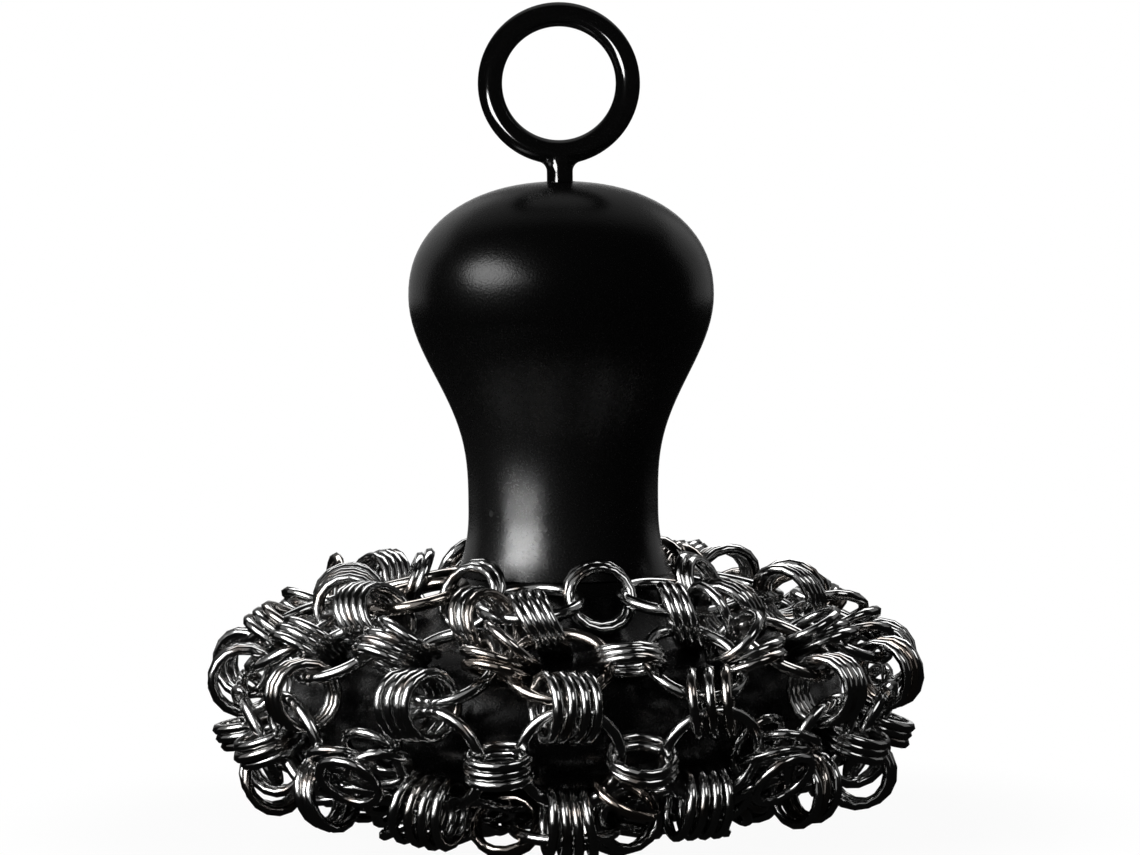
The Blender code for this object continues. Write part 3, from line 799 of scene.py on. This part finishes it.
# %% [markdown]
# A small ring can be pushed out of its neighbour on the way. This is counted: two rings are linked when
# one of them passes an odd number of times through the disc that the other encloses.

# %% Count the links
LINK_SAMPLES = 64
dense = circle_points(LINK_SAMPLES)


def is_linked(first, second):
    """Whether the second ring passes through the first."""
    ring = dense[second]
    side = ((ring - place[first]) @ axis[first]) > 0
    crossings = np.nonzero(side != np.roll(side, -1))[0]
    middle = (ring[crossings] + ring[(crossings + 1) % LINK_SAMPLES]) / 2
    inside = np.linalg.norm(middle - place[first], axis=1) < radius[first]
    return inside.sum() % 2 == 1


broken = [kind for kind, a, b, numbers in clips for number in numbers
          if not (is_linked(a, number) and is_linked(b, number))]
print("small rings that lost a neighbour", len(broken), sorted(set(broken)))

# %% [markdown]
# Now a Geometry Nodes tree turns each place into a ring of wire: a circle swept round a circle, a little
# thicker where it was welded shut. It makes one large and one small ring and puts a copy on every point.
# Modelling 400 rings one by one would look the same, but then a change of the wire means starting again.

# %% A ring of wire


def with_attribute(tree, geometry, name, value, domain):
    """The geometry with a value stored on it under a name."""
    feeds = {"Geometry": geometry, "Name": name, "Value": value}
    return add_node(tree, "GeometryNodeStoreNamedAttribute", feeds, data_type="FLOAT",
                    domain=domain).outputs["Geometry"]


def circle_curve(tree, segments, radius):
    return add_node(tree, "GeometryNodeCurvePrimitiveCircle", {"Resolution": segments, "Radius": radius},
                    mode="RADIUS").outputs["Curve"]


def swept_ring(tree, given, size, at_weld):
    """A ring of wire of one size. Its first point is the weld, which is a little thicker."""
    line = circle_curve(tree, given[f"{size} Segments"], given[f"{size} Radius"])
    swell = math_node(tree, "MULTIPLY_ADD", at_weld, given["Weld Swell"], 1)
    welded = add_node(tree, "GeometryNodeSetCurveRadius", {"Curve": line, "Radius": swell})
    marked = with_attribute(tree, welded.outputs["Curve"], "weld", at_weld, "POINT")
    section = circle_curve(tree, given[f"{size} Sides"], given[f"{size} Wire"])
    return add_node(tree, "GeometryNodeCurveToMesh",
                    {"Curve": marked, "Profile Curve": section}).outputs["Mesh"]


# %% [markdown]
# Every point carries the axis of its ring and its kind. The axis turns the ring, a random angle about it
# puts the weld anywhere round the ring, and the kind picks the large or the small one. At the end the
# copies are made real, because an exported model can't hold instances.

# %% Ring tree
RING_INPUTS = {
    "Geometry": ("Geometry",),
    "Float": ("Large Radius", "Large Wire", "Small Radius", "Small Wire", "Weld Swell"),
    "Int": ("Large Segments", "Large Sides", "Small Segments", "Small Sides", "Seed"),
    "Material": ("Material",),
}


def named_attribute(tree, name, data_type):
    return add_node(tree, "GeometryNodeInputNamedAttribute", {"Name": name},
                    data_type=data_type).outputs["Attribute"]


def ring_rotation(tree, seed):
    """Turns a ring's Z to its axis attribute, and its weld to a random place."""
    aligned = add_node(tree, "FunctionNodeAlignRotationToVector",
                       {"Vector": named_attribute(tree, "axis", "FLOAT_VECTOR")}, axis="Z")
    spin = add_node(tree, "FunctionNodeRandomValue", {3: 2 * math.pi, "Seed": seed}, data_type="FLOAT")
    turn = add_node(tree, "FunctionNodeAxisAngleToRotation", {"Axis": (0, 0, 1), "Angle": spin.outputs[1]})
    both = {"Rotation": aligned.outputs["Rotation"], "Rotate By": turn.outputs["Rotation"]}
    return add_node(tree, "FunctionNodeRotateRotation", both, rotation_space="LOCAL").outputs["Rotation"]


def ring_tree():
    """A tree that puts a large or a small ring on each point, along its axis attribute."""
    tree = bpy.data.node_groups.new("wire rings", "GeometryNodeTree")
    for kind, names in RING_INPUTS.items():
        for name in names:
            tree.interface.new_socket(name, in_out="INPUT", socket_type="NodeSocket" + kind)
    tree.interface.new_socket("Geometry", in_out="OUTPUT", socket_type="NodeSocketGeometry")
    given = add_node(tree, "NodeGroupInput").outputs
    index = add_node(tree, "GeometryNodeInputIndex").outputs[0]
    at_weld = add_node(tree, "FunctionNodeCompare", {2: index}, data_type="INT", operation="EQUAL")
    kinds = add_node(tree, "GeometryNodeGeometryToInstance")
    for size in ("Small", "Large"):     # the last link comes first
        tree.links.new(swept_ring(tree, given, size, at_weld.outputs[0]), kinds.inputs["Geometry"])
    placed = add_node(tree, "GeometryNodeInstanceOnPoints", {
        "Points": given["Geometry"], "Instance": kinds.outputs["Instances"], "Pick Instance": True,
        "Instance Index": named_attribute(tree, "kind", "INT"),
        "Rotation": ring_rotation(tree, given["Seed"])})
    tint = add_node(tree, "FunctionNodeRandomValue", {"Seed": given["Seed"]}, data_type="FLOAT")
    shape = with_attribute(tree, placed.outputs["Instances"], "ring_tint", tint.outputs[1], "INSTANCE")
    for kind in ("GeometryNodeRealizeInstances", "GeometryNodeSetShadeSmooth"):
        shape = add_node(tree, kind, {"Geometry": shape}).outputs["Geometry"]
    dressed = add_node(tree, "GeometryNodeSetMaterial", {"Geometry": shape, "Material": given["Material"]})
    add_node(tree, "NodeGroupOutput", {"Geometry": dressed.outputs["Geometry"]})
    return tree


rings_of_wire = ring_tree()
print("nodes in the ring tree", len(rings_of_wire.nodes))

# %% [markdown]
# Two effects are needed by more than one finish. Fine grain is the faint unevenness that polishing, dipping
# and spraying leave; it makes a highlight sparkle. Wear is a thin scatter of pits. Each is a shader group
# with its sizes as inputs, built once and given its own values by every material. The groups put out only
# values and heights; the shader itself stays in the material.

# %% Shader groups
PIT_EDGE = 0.16                 # radius of a pit and of its floor, as a share of the spacing of the pits
PIT_FLOOR = 0.05


def shader_group(name, inputs, outputs):
    tree = bpy.data.node_groups.new(name, "ShaderNodeTree")
    for in_out, sockets in (("INPUT", inputs), ("OUTPUT", outputs)):
        for socket in sockets:
            tree.interface.new_socket(socket, in_out=in_out, socket_type="NodeSocketFloat")
    return tree, add_node(tree, "NodeGroupInput").outputs


def pattern(tree, kind, size, **settings):
    """The outputs of a texture of a given size, in metres, that sits still on the piece."""
    place = add_node(tree, "ShaderNodeTexCoord").outputs["Object"]
    scale = math_node(tree, "DIVIDE", 1.0, size)
    return add_node(tree, kind, {"Vector": place, "Scale": scale, **settings}).outputs


def grain_group():
    """Noise of a given size, once as a value round 0 and once as a height."""
    tree, given = shader_group("Fine grain", ("Size", "Depth", "Spread"), ("Value", "Height"))
    noise = pattern(tree, "ShaderNodeTexNoise", given["Size"], Detail=2)
    centred = math_node(tree, "SUBTRACT", noise["Fac"], 0.5)
    add_node(tree, "NodeGroupOutput", {"Value": math_node(tree, "MULTIPLY", centred, given["Spread"]),
                                       "Height": math_node(tree, "MULTIPLY", centred, given["Depth"])})
    return tree


def wear_group():
    """Pits, as a mask and as a height below the surface. Share is the part of the cells that have one."""
    tree, given = shader_group("Wear", ("Spacing", "Share", "Depth"), ("Mask", "Height"))
    cells = pattern(tree, "ShaderNodeTexVoronoi", given["Spacing"])
    near = smooth_step(tree, cells["Distance"], From_Min=PIT_EDGE, From_Max=PIT_FLOOR)
    chance_of_cell = add_node(tree, "ShaderNodeSeparateColor", {"Color": cells["Color"]}).outputs["Red"]
    chosen = math_node(tree, "LESS_THAN", chance_of_cell, given["Share"])
    mask = math_node(tree, "MULTIPLY", near, chosen)
    sunk = math_node(tree, "MULTIPLY", mask, given["Depth"])
    add_node(tree, "NodeGroupOutput", {"Mask": mask, "Height": math_node(tree, "MULTIPLY", sunk, -1.0)})
    return tree


fine_grain = grain_group()
wear = wear_group()
print("shader groups", fine_grain.name, "and", wear.name)

# %% [markdown]
# Four finishes: polished steel for the rings, zinc plating for the hidden screw and washer, satin lacquer
# for the handle and the core, and gloss paint for the eye. All have grain and pits, in other sizes, and
# a constant that is the same all over a piece is set on the shader's own socket.

# %% Finishes
PIT_ROUGHNESS = 0.25            # by so much a pit is rougher than the surface round it
LACQUER_PITS = (3.2 * MM, 0.1, 0.02 * MM)


def finish(name, colour, roughness, grain, pits, metallic=0.0, ior=1.5):
    """A material from a grain (size, depth, spread) and pits (spacing, share, depth)."""
    material = bpy.data.materials.new(name)
    material.use_nodes = True
    tree = material.node_tree
    shader = tree.nodes["Principled BSDF"]
    shader.inputs["Base Color"].default_value = (*colour, 1)
    shader.inputs["Metallic"].default_value = metallic
    shader.inputs["IOR"].default_value = ior
    grain = add_node(tree, "ShaderNodeGroup", dict(enumerate(grain)), node_tree=fine_grain).outputs
    pits = add_node(tree, "ShaderNodeGroup", dict(enumerate(pits)), node_tree=wear).outputs
    uneven = math_node(tree, "ADD", grain["Value"], roughness)
    uneven = math_node(tree, "ADD", uneven, math_node(tree, "MULTIPLY", pits["Mask"], PIT_ROUGHNESS))
    tree.links.new(uneven, shader.inputs["Roughness"])
    height = math_node(tree, "ADD", grain["Height"], pits["Height"])
    bump = add_node(tree, "ShaderNodeBump", {"Distance": 1.0, "Height": height})
    tree.links.new(bump.outputs["Normal"], shader.inputs["Normal"])
    return material


zinc_steel = finish("zinc_plated_steel", (0.62, 0.62, 0.6), 0.36, (0.9 * MM, 0.004 * MM, 0.2),
                    (1.6 * MM, 0.2, 0.01 * MM), metallic=1.0)
lacquer = finish("black_lacquer", (0.002, 0.002, 0.002), 0.26, (0.27 * MM, 0.022 * MM, 0.14),
                 LACQUER_PITS, ior=1.43)
eye_black = finish("black_painted_steel", (0.003, 0.003, 0.003), 0.08, (1.6 * MM, 0.004 * MM, 0.02),
                   LACQUER_PITS, ior=2.4)
print("finishes", zinc_steel.name, lacquer.name, eye_black.name)

# %% [markdown]
# Polished steel is written darker than it is usually given, because rings mirror each other: what is seen
# twice over is darkened twice, and that keeps the black between the bright lines. About one ring in six
# is warmer, and each is browned at its weld. The ring tree stores both as attributes.

# %% Polished steel
RING_COLOUR = (0.35, 0.35, 0.347)
WARM_COLOUR = (0.37, 0.32, 0.28)
WELD_COLOUR = (0.22, 0.19, 0.17)
RING_ROUGHNESS = 0.12
WARM_FROM = 0.82                # a ring whose tint, from 0 to 1, is above this is warmer


def stain_rings(material):
    """Colours some rings warmer, and every weld browner."""
    tree = material.node_tree
    tint = add_node(tree, "ShaderNodeAttribute", attribute_name="ring_tint").outputs["Fac"]
    warm = add_node(tree, "ShaderNodeMapRange", {"Value": tint, "From Min": WARM_FROM}).outputs["Result"]
    weld = add_node(tree, "ShaderNodeAttribute", attribute_name="weld").outputs["Fac"]
    colour = (*RING_COLOUR, 1)
    for share, stain in ((warm, WARM_COLOUR), (weld, WELD_COLOUR)):
        mix = add_node(tree, "ShaderNodeMix", {"Factor": share, "A": colour, "B": (*stain, 1)},
                       data_type="RGBA")
        colour = mix.outputs["Result"]
    tree.links.new(colour, tree.nodes["Principled BSDF"].inputs["Base Color"])


ring_steel = finish("ring_steel", RING_COLOUR, RING_ROUGHNESS, (0.5 * MM, 0.0006 * MM, 0.08),
                    (1.1 * MM, 0.05, 0.002 * MM), metallic=1.0)
stain_rings(ring_steel)
print("materials", len(bpy.data.materials))

# %% [markdown]
# The tree now runs once for the bag and once for each side clip, because each side clip swings on a joint
# of its own. The places go in as the points of a mesh, with the axis and the kind of each ring as
# attributes, and the result comes out as a plain mesh. Every body has a seed of its own.

# %% Make the rings
RING_SIZES = {
    "Large Radius": LARGE_RADIUS, "Large Wire": LARGE_WIRE / 2, "Large Segments": 36, "Large Sides": 8,
    "Small Radius": SMALL_RADIUS, "Small Wire": SMALL_WIRE / 2, "Small Segments": 16, "Small Sides": 6,
    "Weld Swell": 0.12, "Material": ring_steel,
}


def ring_places(name, numbers):
    """An object with a point for every ring, and on it the ring's axis and kind, 1 for small."""
    mesh = bpy.data.meshes.new(name)
    mesh.from_pydata([tuple(place[number]) for number in numbers], [], [])
    facing = mesh.attributes.new("axis", "FLOAT_VECTOR", "POINT")
    facing.data.foreach_set("vector", axis[numbers].astype(np.float32).ravel())
    kind = mesh.attributes.new("kind", "INT", "POINT")
    kind.data.foreach_set("value", (radius[numbers] < LARGE_RADIUS).astype(np.int32))
    return new_object(name + "_places", mesh)


def plain_copy(item, name):
    """The item's shape with its modifiers applied, as a mesh object that takes the item's place."""
    graph = bpy.context.evaluated_depsgraph_get()
    mesh = bpy.data.meshes.new_from_object(item.evaluated_get(graph))
    bpy.data.objects.remove(item, do_unlink=True)
    mesh.name = name
    return new_object(name, mesh)


def make_rings(name, body, seed):
    """One mesh of all the rings that ride on a body."""
    cloud = ring_places(name, [number for number, owner in enumerate(rings["body"]) if owner == body])
    modifier = cloud.modifiers.new("Rings", "NODES")
    modifier.node_group = rings_of_wire
    sizes = {**RING_SIZES, "Seed": seed}
    for socket in rings_of_wire.interface.items_tree:
        if socket.name in sizes:
            modifier[socket.identifier] = sizes[socket.name]
    return plain_copy(cloud, name)


linked_rings = make_rings("linked_rings", "ring_bag", 1)
bag_nodes = [name for name in nodes if name.startswith(("neck_ring", "upper_ring", "lower_ring", "base_net"))]
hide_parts(*bag_nodes)
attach(linked_rings, "ring_bag")
for i in range(COLUMNS):
    node = f"side_clip_{i + 1:02d}"
    clip_rings = make_rings(node + "_rings", node, 2 + i)
    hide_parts(node)
    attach(clip_rings, node)
print("triangles in the bag", sum(len(face.vertices) - 2 for face in linked_rings.data.polygons))

# %% [markdown]
# The handle and the core come off a lathe, so each is one outline turned about the axis: a Screw modifier
# does that. The outline is the CAD model's, with enough points that its highlights run smoothly. Edges
# sharper than 40 degrees stay sharp, and all others are shaded smooth.

# %% Lathe
TURNED_STEPS = 96
SMOOTH_ANGLE = math.radians(40)
MERGE_DISTANCE = 0.001 * MM


def finished(item):
    """The piece with its modifiers applied, shaded smooth but for its sharp edges."""
    piece = plain_copy(item, item.name)
    piece.data.shade_smooth()
    piece.data.set_sharp_from_angle(angle=SMOOTH_ANGLE)
    return piece


def turned(name, profile, closed=False, steps=TURNED_STEPS):
    """A lathe shape about Z from an outline that runs down its outer side."""
    mesh = bpy.data.meshes.new(name)
    edges = [(i, i + 1) for i in range(len(profile) - 1)]
    if closed:
        edges.append((len(profile) - 1, 0))
    mesh.from_pydata([(out, 0, height) for out, height in profile], edges, [])
    item = new_object(name, mesh)
    screw = item.modifiers.new("Turn", "SCREW")
    screw.steps = screw.render_steps = steps
    screw.use_merge_vertices = True
    screw.merge_threshold = MERGE_DISTANCE
    return finished(item)


def dress(piece, node, body, material):
    """A finished piece takes its material and the place of its CAD node."""
    piece.data.materials.clear()
    piece.data.materials.append(material)
    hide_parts(node)
    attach(piece, body)
    print(piece.name, "faces", len(piece.data.polygons))


# %% [markdown]
# The knob's crown is a little fuller than an ellipse, its taper runs in and out softly like a wave, and
# the foot flares out late. Each of these curves is one power of a simple function. Below the foot a tenon
# goes into the core, with a bore for the screw, and from the top a bore takes the stem of the eye.

# %% Handle
CURVE_STEPS = 24
KNOB_RADIUS = 20.0 * MM
KNOB_CROWN = 14.9 * MM          # from the widest part up to the top
KNOB_TAPER = 27.6 * MM          # from the widest part down to the neck
CROWN_POWER = 2.2
TAPER_POWER = 1.6
FLARE_POWER = 2.5
TENON_RADIUS = 8.0 * MM
STEM_RADIUS = 1.7 * MM
STEM_BORE = STEM_RADIUS + FIT_GAP
SCREW_RADIUS = 2.5 * MM
SCREW_BORE = SCREW_RADIUS + FIT_GAP
EYE_DEPTH = 20.0 * MM
SCREW_GRIP = 10.0 * MM
SOCKET_DEPTH = 8.0 * MM
HANDLE_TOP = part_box("handle")[1].z
KNOB_HEIGHT = HANDLE_TOP - KNOB_CROWN
SOCKET_FLOOR = CORE_TOP - SOCKET_DEPTH


def crown():
    """From the bore for the stem out to the widest part of the knob."""
    start = math.asin((STEM_BORE / KNOB_RADIUS) ** (CROWN_POWER / 2))
    angles = [start + (math.pi / 2 - start) * i / CURVE_STEPS for i in range(CURVE_STEPS + 1)]
    return [(KNOB_RADIUS * math.sin(angle) ** (2 / CROWN_POWER),
             KNOB_HEIGHT + KNOB_CROWN * abs(math.cos(angle)) ** (2 / CROWN_POWER)) for angle in angles]


def taper_and_flare():
    """From the widest part in to the neck, and out again to the foot."""
    shares = [i / CURVE_STEPS for i in range(1, CURVE_STEPS + 1)]
    points = []
    for share in shares:
        swell = ((1 + math.cos(math.pi * share)) / 2) ** TAPER_POWER
        points.append((NECK_RADIUS + (KNOB_RADIUS - NECK_RADIUS) * swell, KNOB_HEIGHT - KNOB_TAPER * share))
    for share in shares:
        points.append((NECK_RADIUS + (FOOT_RADIUS - NECK_RADIUS) * share ** FLARE_POWER,
                       KNOB_HEIGHT - KNOB_TAPER - NECK_FLARE * share))
    return points


def handle_profile():
    hole_floor = HANDLE_TOP - EYE_DEPTH - FIT_GAP
    tenon_end = SOCKET_FLOOR + FIT_GAP
    screw_end = FOOT_HEIGHT + SCREW_GRIP + FIT_GAP
    points = [(0, hole_floor), (STEM_BORE, hole_floor)] + crown() + taper_and_flare()
    points += [(TENON_RADIUS, FOOT_HEIGHT), (TENON_RADIUS, tenon_end), (SCREW_BORE, tenon_end)]
    return points + [(SCREW_BORE, screw_end), (0, screw_end)]


handle = turned("turned_handle", handle_profile())
dress(handle, "handle", "knob", lacquer)

# %% [markdown]
# The core is a closed outline, turned: the shoulder and the side from the cell of the outline, a recess
# for the screw's head below, and a socket for the tenon above.

# %% Core
RECESS_RADIUS = 6.6 * MM
RECESS_DEPTH = 9.0 * MM
RECESS_CEILING = CORE_BOTTOM + RECESS_DEPTH


def core_profile():
    socket = TENON_RADIUS + FIT_GAP
    points = [(socket, CORE_TOP)] + shoulder(CURVE_STEPS) + core_side(CURVE_STEPS)
    points += [(RECESS_RADIUS, CORE_BOTTOM), (RECESS_RADIUS, RECESS_CEILING)]
    return points + [(SCREW_BORE, RECESS_CEILING), (SCREW_BORE, SOCKET_FLOOR), (socket, SOCKET_FLOOR)]


core = turned("turned_core", core_profile(), closed=True)
dress(core, "core", "knob", lacquer)

# %% [markdown]
# The screw eye is one rod of steel, bent round and welded to its stem, then dipped in gloss paint, which
# fills the corners. Here it is a ring and a stem that widens towards it, joined by a union. The wide end
# of the stem is pressed flat first, so that it stays inside the wire of the ring.

# %% Hanging eye
EYE_RADIUS = 9.0 * MM
EYE_WIRE = 3.2 * MM
EYE_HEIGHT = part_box("hanging_eye")[1].z - EYE_RADIUS - EYE_WIRE / 2
STEM_TOP = EYE_HEIGHT - EYE_RADIUS
STEM_END = HANDLE_TOP - EYE_DEPTH
STEM_TIP_RADIUS = 0.7 * MM
STEM_STEPS = 48
FILLET_RADIUS = 1.3 * MM
FILLET_REACH = 0.85 * FILLET_RADIUS     # how far it stands out of the stem at the top
FILLET_DROP = 0.9 * MM          # from the wire of the ring down to the foot of the fillet
FILLET_LOW = STEM_TOP - EYE_WIRE / 2 - FILLET_DROP
FILLET_STEPS = 8
FILLET_ARC = 80                 # degrees
FLAT_SHARE = 0.97               # depth of the flattened end, as a share of the wire's
EYE_SEGMENTS = 96
EYE_SIDES = 32


def stem_profile():
    profile = [(0, STEM_TOP), (STEM_RADIUS + FILLET_REACH, STEM_TOP)]
    for i in range(FILLET_STEPS + 1):
        angle = math.radians(FILLET_ARC * (1 - i / FILLET_STEPS))
        profile.append((STEM_RADIUS + FILLET_RADIUS * (1 - math.cos(angle)),
                        FILLET_LOW + FILLET_RADIUS * math.sin(angle)))
    return profile + [(STEM_RADIUS, STEM_END + STEM_RADIUS), (STEM_TIP_RADIUS, STEM_END), (0, STEM_END)]


def make_stem():
    stem = turned("stem", stem_profile(), steps=STEM_STEPS)
    depth = EYE_WIRE / 2 * FLAT_SHARE
    for vertex in stem.data.vertices:
        out = math.hypot(vertex.co.x, vertex.co.y)
        if vertex.co.z > FILLET_LOW - MM and out > depth:
            share = min(1, (vertex.co.z - FILLET_LOW + MM) / MM)
            vertex.co.y *= 1 - share + share * depth / out
    return stem


def make_eye():
    bpy.ops.mesh.primitive_torus_add(major_segments=EYE_SEGMENTS, minor_segments=EYE_SIDES,
                                     major_radius=EYE_RADIUS, minor_radius=EYE_WIRE / 2)
    eye = bpy.context.object
    eye.name = "screw_eye"
    eye.data.transform(Matrix.Translation((0, 0, EYE_HEIGHT)) @ Matrix.Rotation(math.pi / 2, 4, "X"))
    stem = make_stem()
    union = eye.modifiers.new("Stem", "BOOLEAN")
    union.operation = "UNION"
    union.object = stem
    eye = finished(eye)
    bpy.data.objects.remove(stem, do_unlink=True)
    return eye


screw_eye = make_eye()
dress(screw_eye, "hanging_eye", "knob", eye_black)

# %% [markdown]
# A screw from below holds the handle on the core, with a washer under its head. Neither shows in the
# photograph. Both are plain turned shapes, the screw with a cross cut in its head and without threads.

# %% Screw and washer
SCREW_HEAD_RADIUS = 4.5 * MM
SCREW_HEAD_HEIGHT = 3.3 * MM
SCREW_DOME = 2.0 * MM           # radius of the round edge of the head
SCREW_TIP_RADIUS = 1.75 * MM
SCREW_STEPS = 48
DOME_STEPS = 8
WASHER_RADIUS = 6.0 * MM
WASHER_THICKNESS = 1.0 * MM
EDGE_ROUND = 0.2 * MM
EDGE_STEPS = 4
SLOT_WIDTH = 1.1 * MM
SLOT_DEPTH = 1.5 * MM


def make_washer():
    top = RECESS_CEILING - FIT_GAP
    bottom = top - WASHER_THICKNESS
    outer = WASHER_RADIUS - EDGE_ROUND
    profile = ([(SCREW_BORE, top), (outer, top)]
               + arc((outer, top - EDGE_ROUND), EDGE_ROUND, 90, 0, EDGE_STEPS)[1:]
               + arc((outer, bottom + EDGE_ROUND), EDGE_ROUND, 0, -90, EDGE_STEPS) + [(SCREW_BORE, bottom)])
    return turned("flat_washer", profile, closed=True)


def screw_profile(head_top, head_end):
    tip = FOOT_HEIGHT + SCREW_GRIP
    shank = [(0, tip), (SCREW_TIP_RADIUS, tip), (SCREW_RADIUS, tip - SCREW_RADIUS), (SCREW_RADIUS, head_top)]
    dome = arc((SCREW_HEAD_RADIUS - SCREW_DOME, head_end + SCREW_DOME), SCREW_DOME, 0, -90, DOME_STEPS)
    return shank + [(SCREW_HEAD_RADIUS, head_top)] + dome + [(0, head_end)]


def make_screw():
    head_top = RECESS_CEILING - WASHER_THICKNESS - 2 * FIT_GAP
    head_end = head_top - SCREW_HEAD_HEIGHT
    screw = turned("pan_head_screw", screw_profile(head_top, head_end), steps=SCREW_STEPS)
    for turn in (0, math.pi / 2):
        bpy.ops.mesh.primitive_cube_add(size=1)
        cutter = bpy.context.object
        cutter.data.transform(Matrix.Diagonal((SCREW_HEAD_RADIUS, SLOT_WIDTH, 2 * SLOT_DEPTH, 1)))
        cutter.data.transform(Matrix.Translation((0, 0, head_end)) @ Matrix.Rotation(turn, 4, "Z"))
        cut = screw.modifiers.new("Drive", "BOOLEAN")
        cut.operation = "DIFFERENCE"
        cut.object = cutter
        screw = finished(screw)
        bpy.data.objects.remove(cutter, do_unlink=True)
    return screw


dress(make_screw(), "core_screw", "knob", zinc_steel)
dress(make_washer(), "screw_washer", "knob", zinc_steel)

# %% [markdown]
# A photographer keeps a lamp off a part of the object with a flag, a black card on a stand. Light linking
# does the same here. Round wire wants broad lamps that draw long lines on it, and black lacquer wants few
# and small ones. So most lamps light only the rings or only the black pieces, and the gloss eye has a
# small lamp of its own in place of the big one.

# %% Flag the lamps
steel_rings = [item for item in bpy.data.objects if item.name.endswith("_rings")]
LIGHT_LINKS = (
    ("INCLUDE", steel_rings, ("ring_box", "shoulder_panel", "rim_box", "fill_box")),
    ("INCLUDE", [screw_eye], ("eye_box",)),
    ("INCLUDE", [handle], ("neck_box",)),
    ("INCLUDE", [handle, core], ("left_edge", "right_edge")),
    ("EXCLUDE", [screw_eye], ("key_box", "lobe_box")),
    ("EXCLUDE", [screw_eye, handle, core], ("left_panel", "right_panel")),
)


def link_group(name, pieces, state):
    """A collection for light linking, of the only pieces that count (INCLUDE) or of those that don't."""
    group = bpy.data.collections.new(name)
    for piece in pieces:
        group.objects.link(piece)
    for entry in group.collection_objects:
        entry.light_linking.link_state = state
    return group


for state, pieces, names in LIGHT_LINKS:
    for name in names:
        lamps[name].light_linking.receiver_collection = link_group(f"{name}_{state.lower()}", pieces, state)
print("meshes of rings", len(steel_rings), "lamps that light only some pieces",
      sum(len(names) for state, pieces, names in LIGHT_LINKS))

# %% [markdown]
# One flag is a card of its own. The lamp of the neck must not reach the knob above it, and both are one
# piece, so linking can't part them. The card stands between them: it throws a shadow in that lamp's light
# only, and neither the camera nor a reflection shows it. The lamp's multiple importance sampling is off.
# Otherwise a ray that the lacquer mirrors would pass through the card and find the lamp behind it.

# %% Card for the lamp of the neck
CARD_DISTANCE = 65 * MM
CARD_WIDTH = 100 * MM
CARD_BOTTOM = 60 * MM
CARD_TOP = 110 * MM


def make_card():
    bpy.ops.mesh.primitive_plane_add(size=1)
    card = bpy.context.object
    card.name = "flag_card"
    card.data.transform(Matrix.Diagonal((CARD_WIDTH, CARD_TOP - CARD_BOTTOM, 1, 1)))
    card.data.transform(Matrix.Rotation(math.pi / 2, 4, "X"))
    card.data.transform(Matrix.Translation((0, -CARD_DISTANCE, (CARD_TOP + CARD_BOTTOM) / 2)))
    card.data.transform(Matrix.Rotation(math.radians(NECK_AZIMUTH), 4, "Z"))
    for kind in ("camera", "diffuse", "glossy", "transmission", "volume_scatter"):
        setattr(card, "visible_" + kind, False)
    card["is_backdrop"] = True
    return card


card = make_card()
lamps["neck_box"].data.cycles.use_multiple_importance_sampling = False
for name, lamp in lamps.items():
    if name != "neck_box":
        lamp.light_linking.blocker_collection = link_group(name + "_past_card", [card], "EXCLUDE")
print("card", round(CARD_WIDTH / MM), "mm wide, from", round(CARD_BOTTOM / MM), "mm up")

# %% [markdown]
# The box of the visual model goes beside that of the CAD model, to show that the dressing hasn't changed
# the size of the part.

# %% Write the sizes
visual_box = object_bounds()
for side, cad, visual in (("low", cad_box[0], visual_box[0]), ("high", cad_box[1], visual_box[1])):
    print(side, [round(value / MM, 1) for value in cad], [round(value / MM, 1) for value in visual])
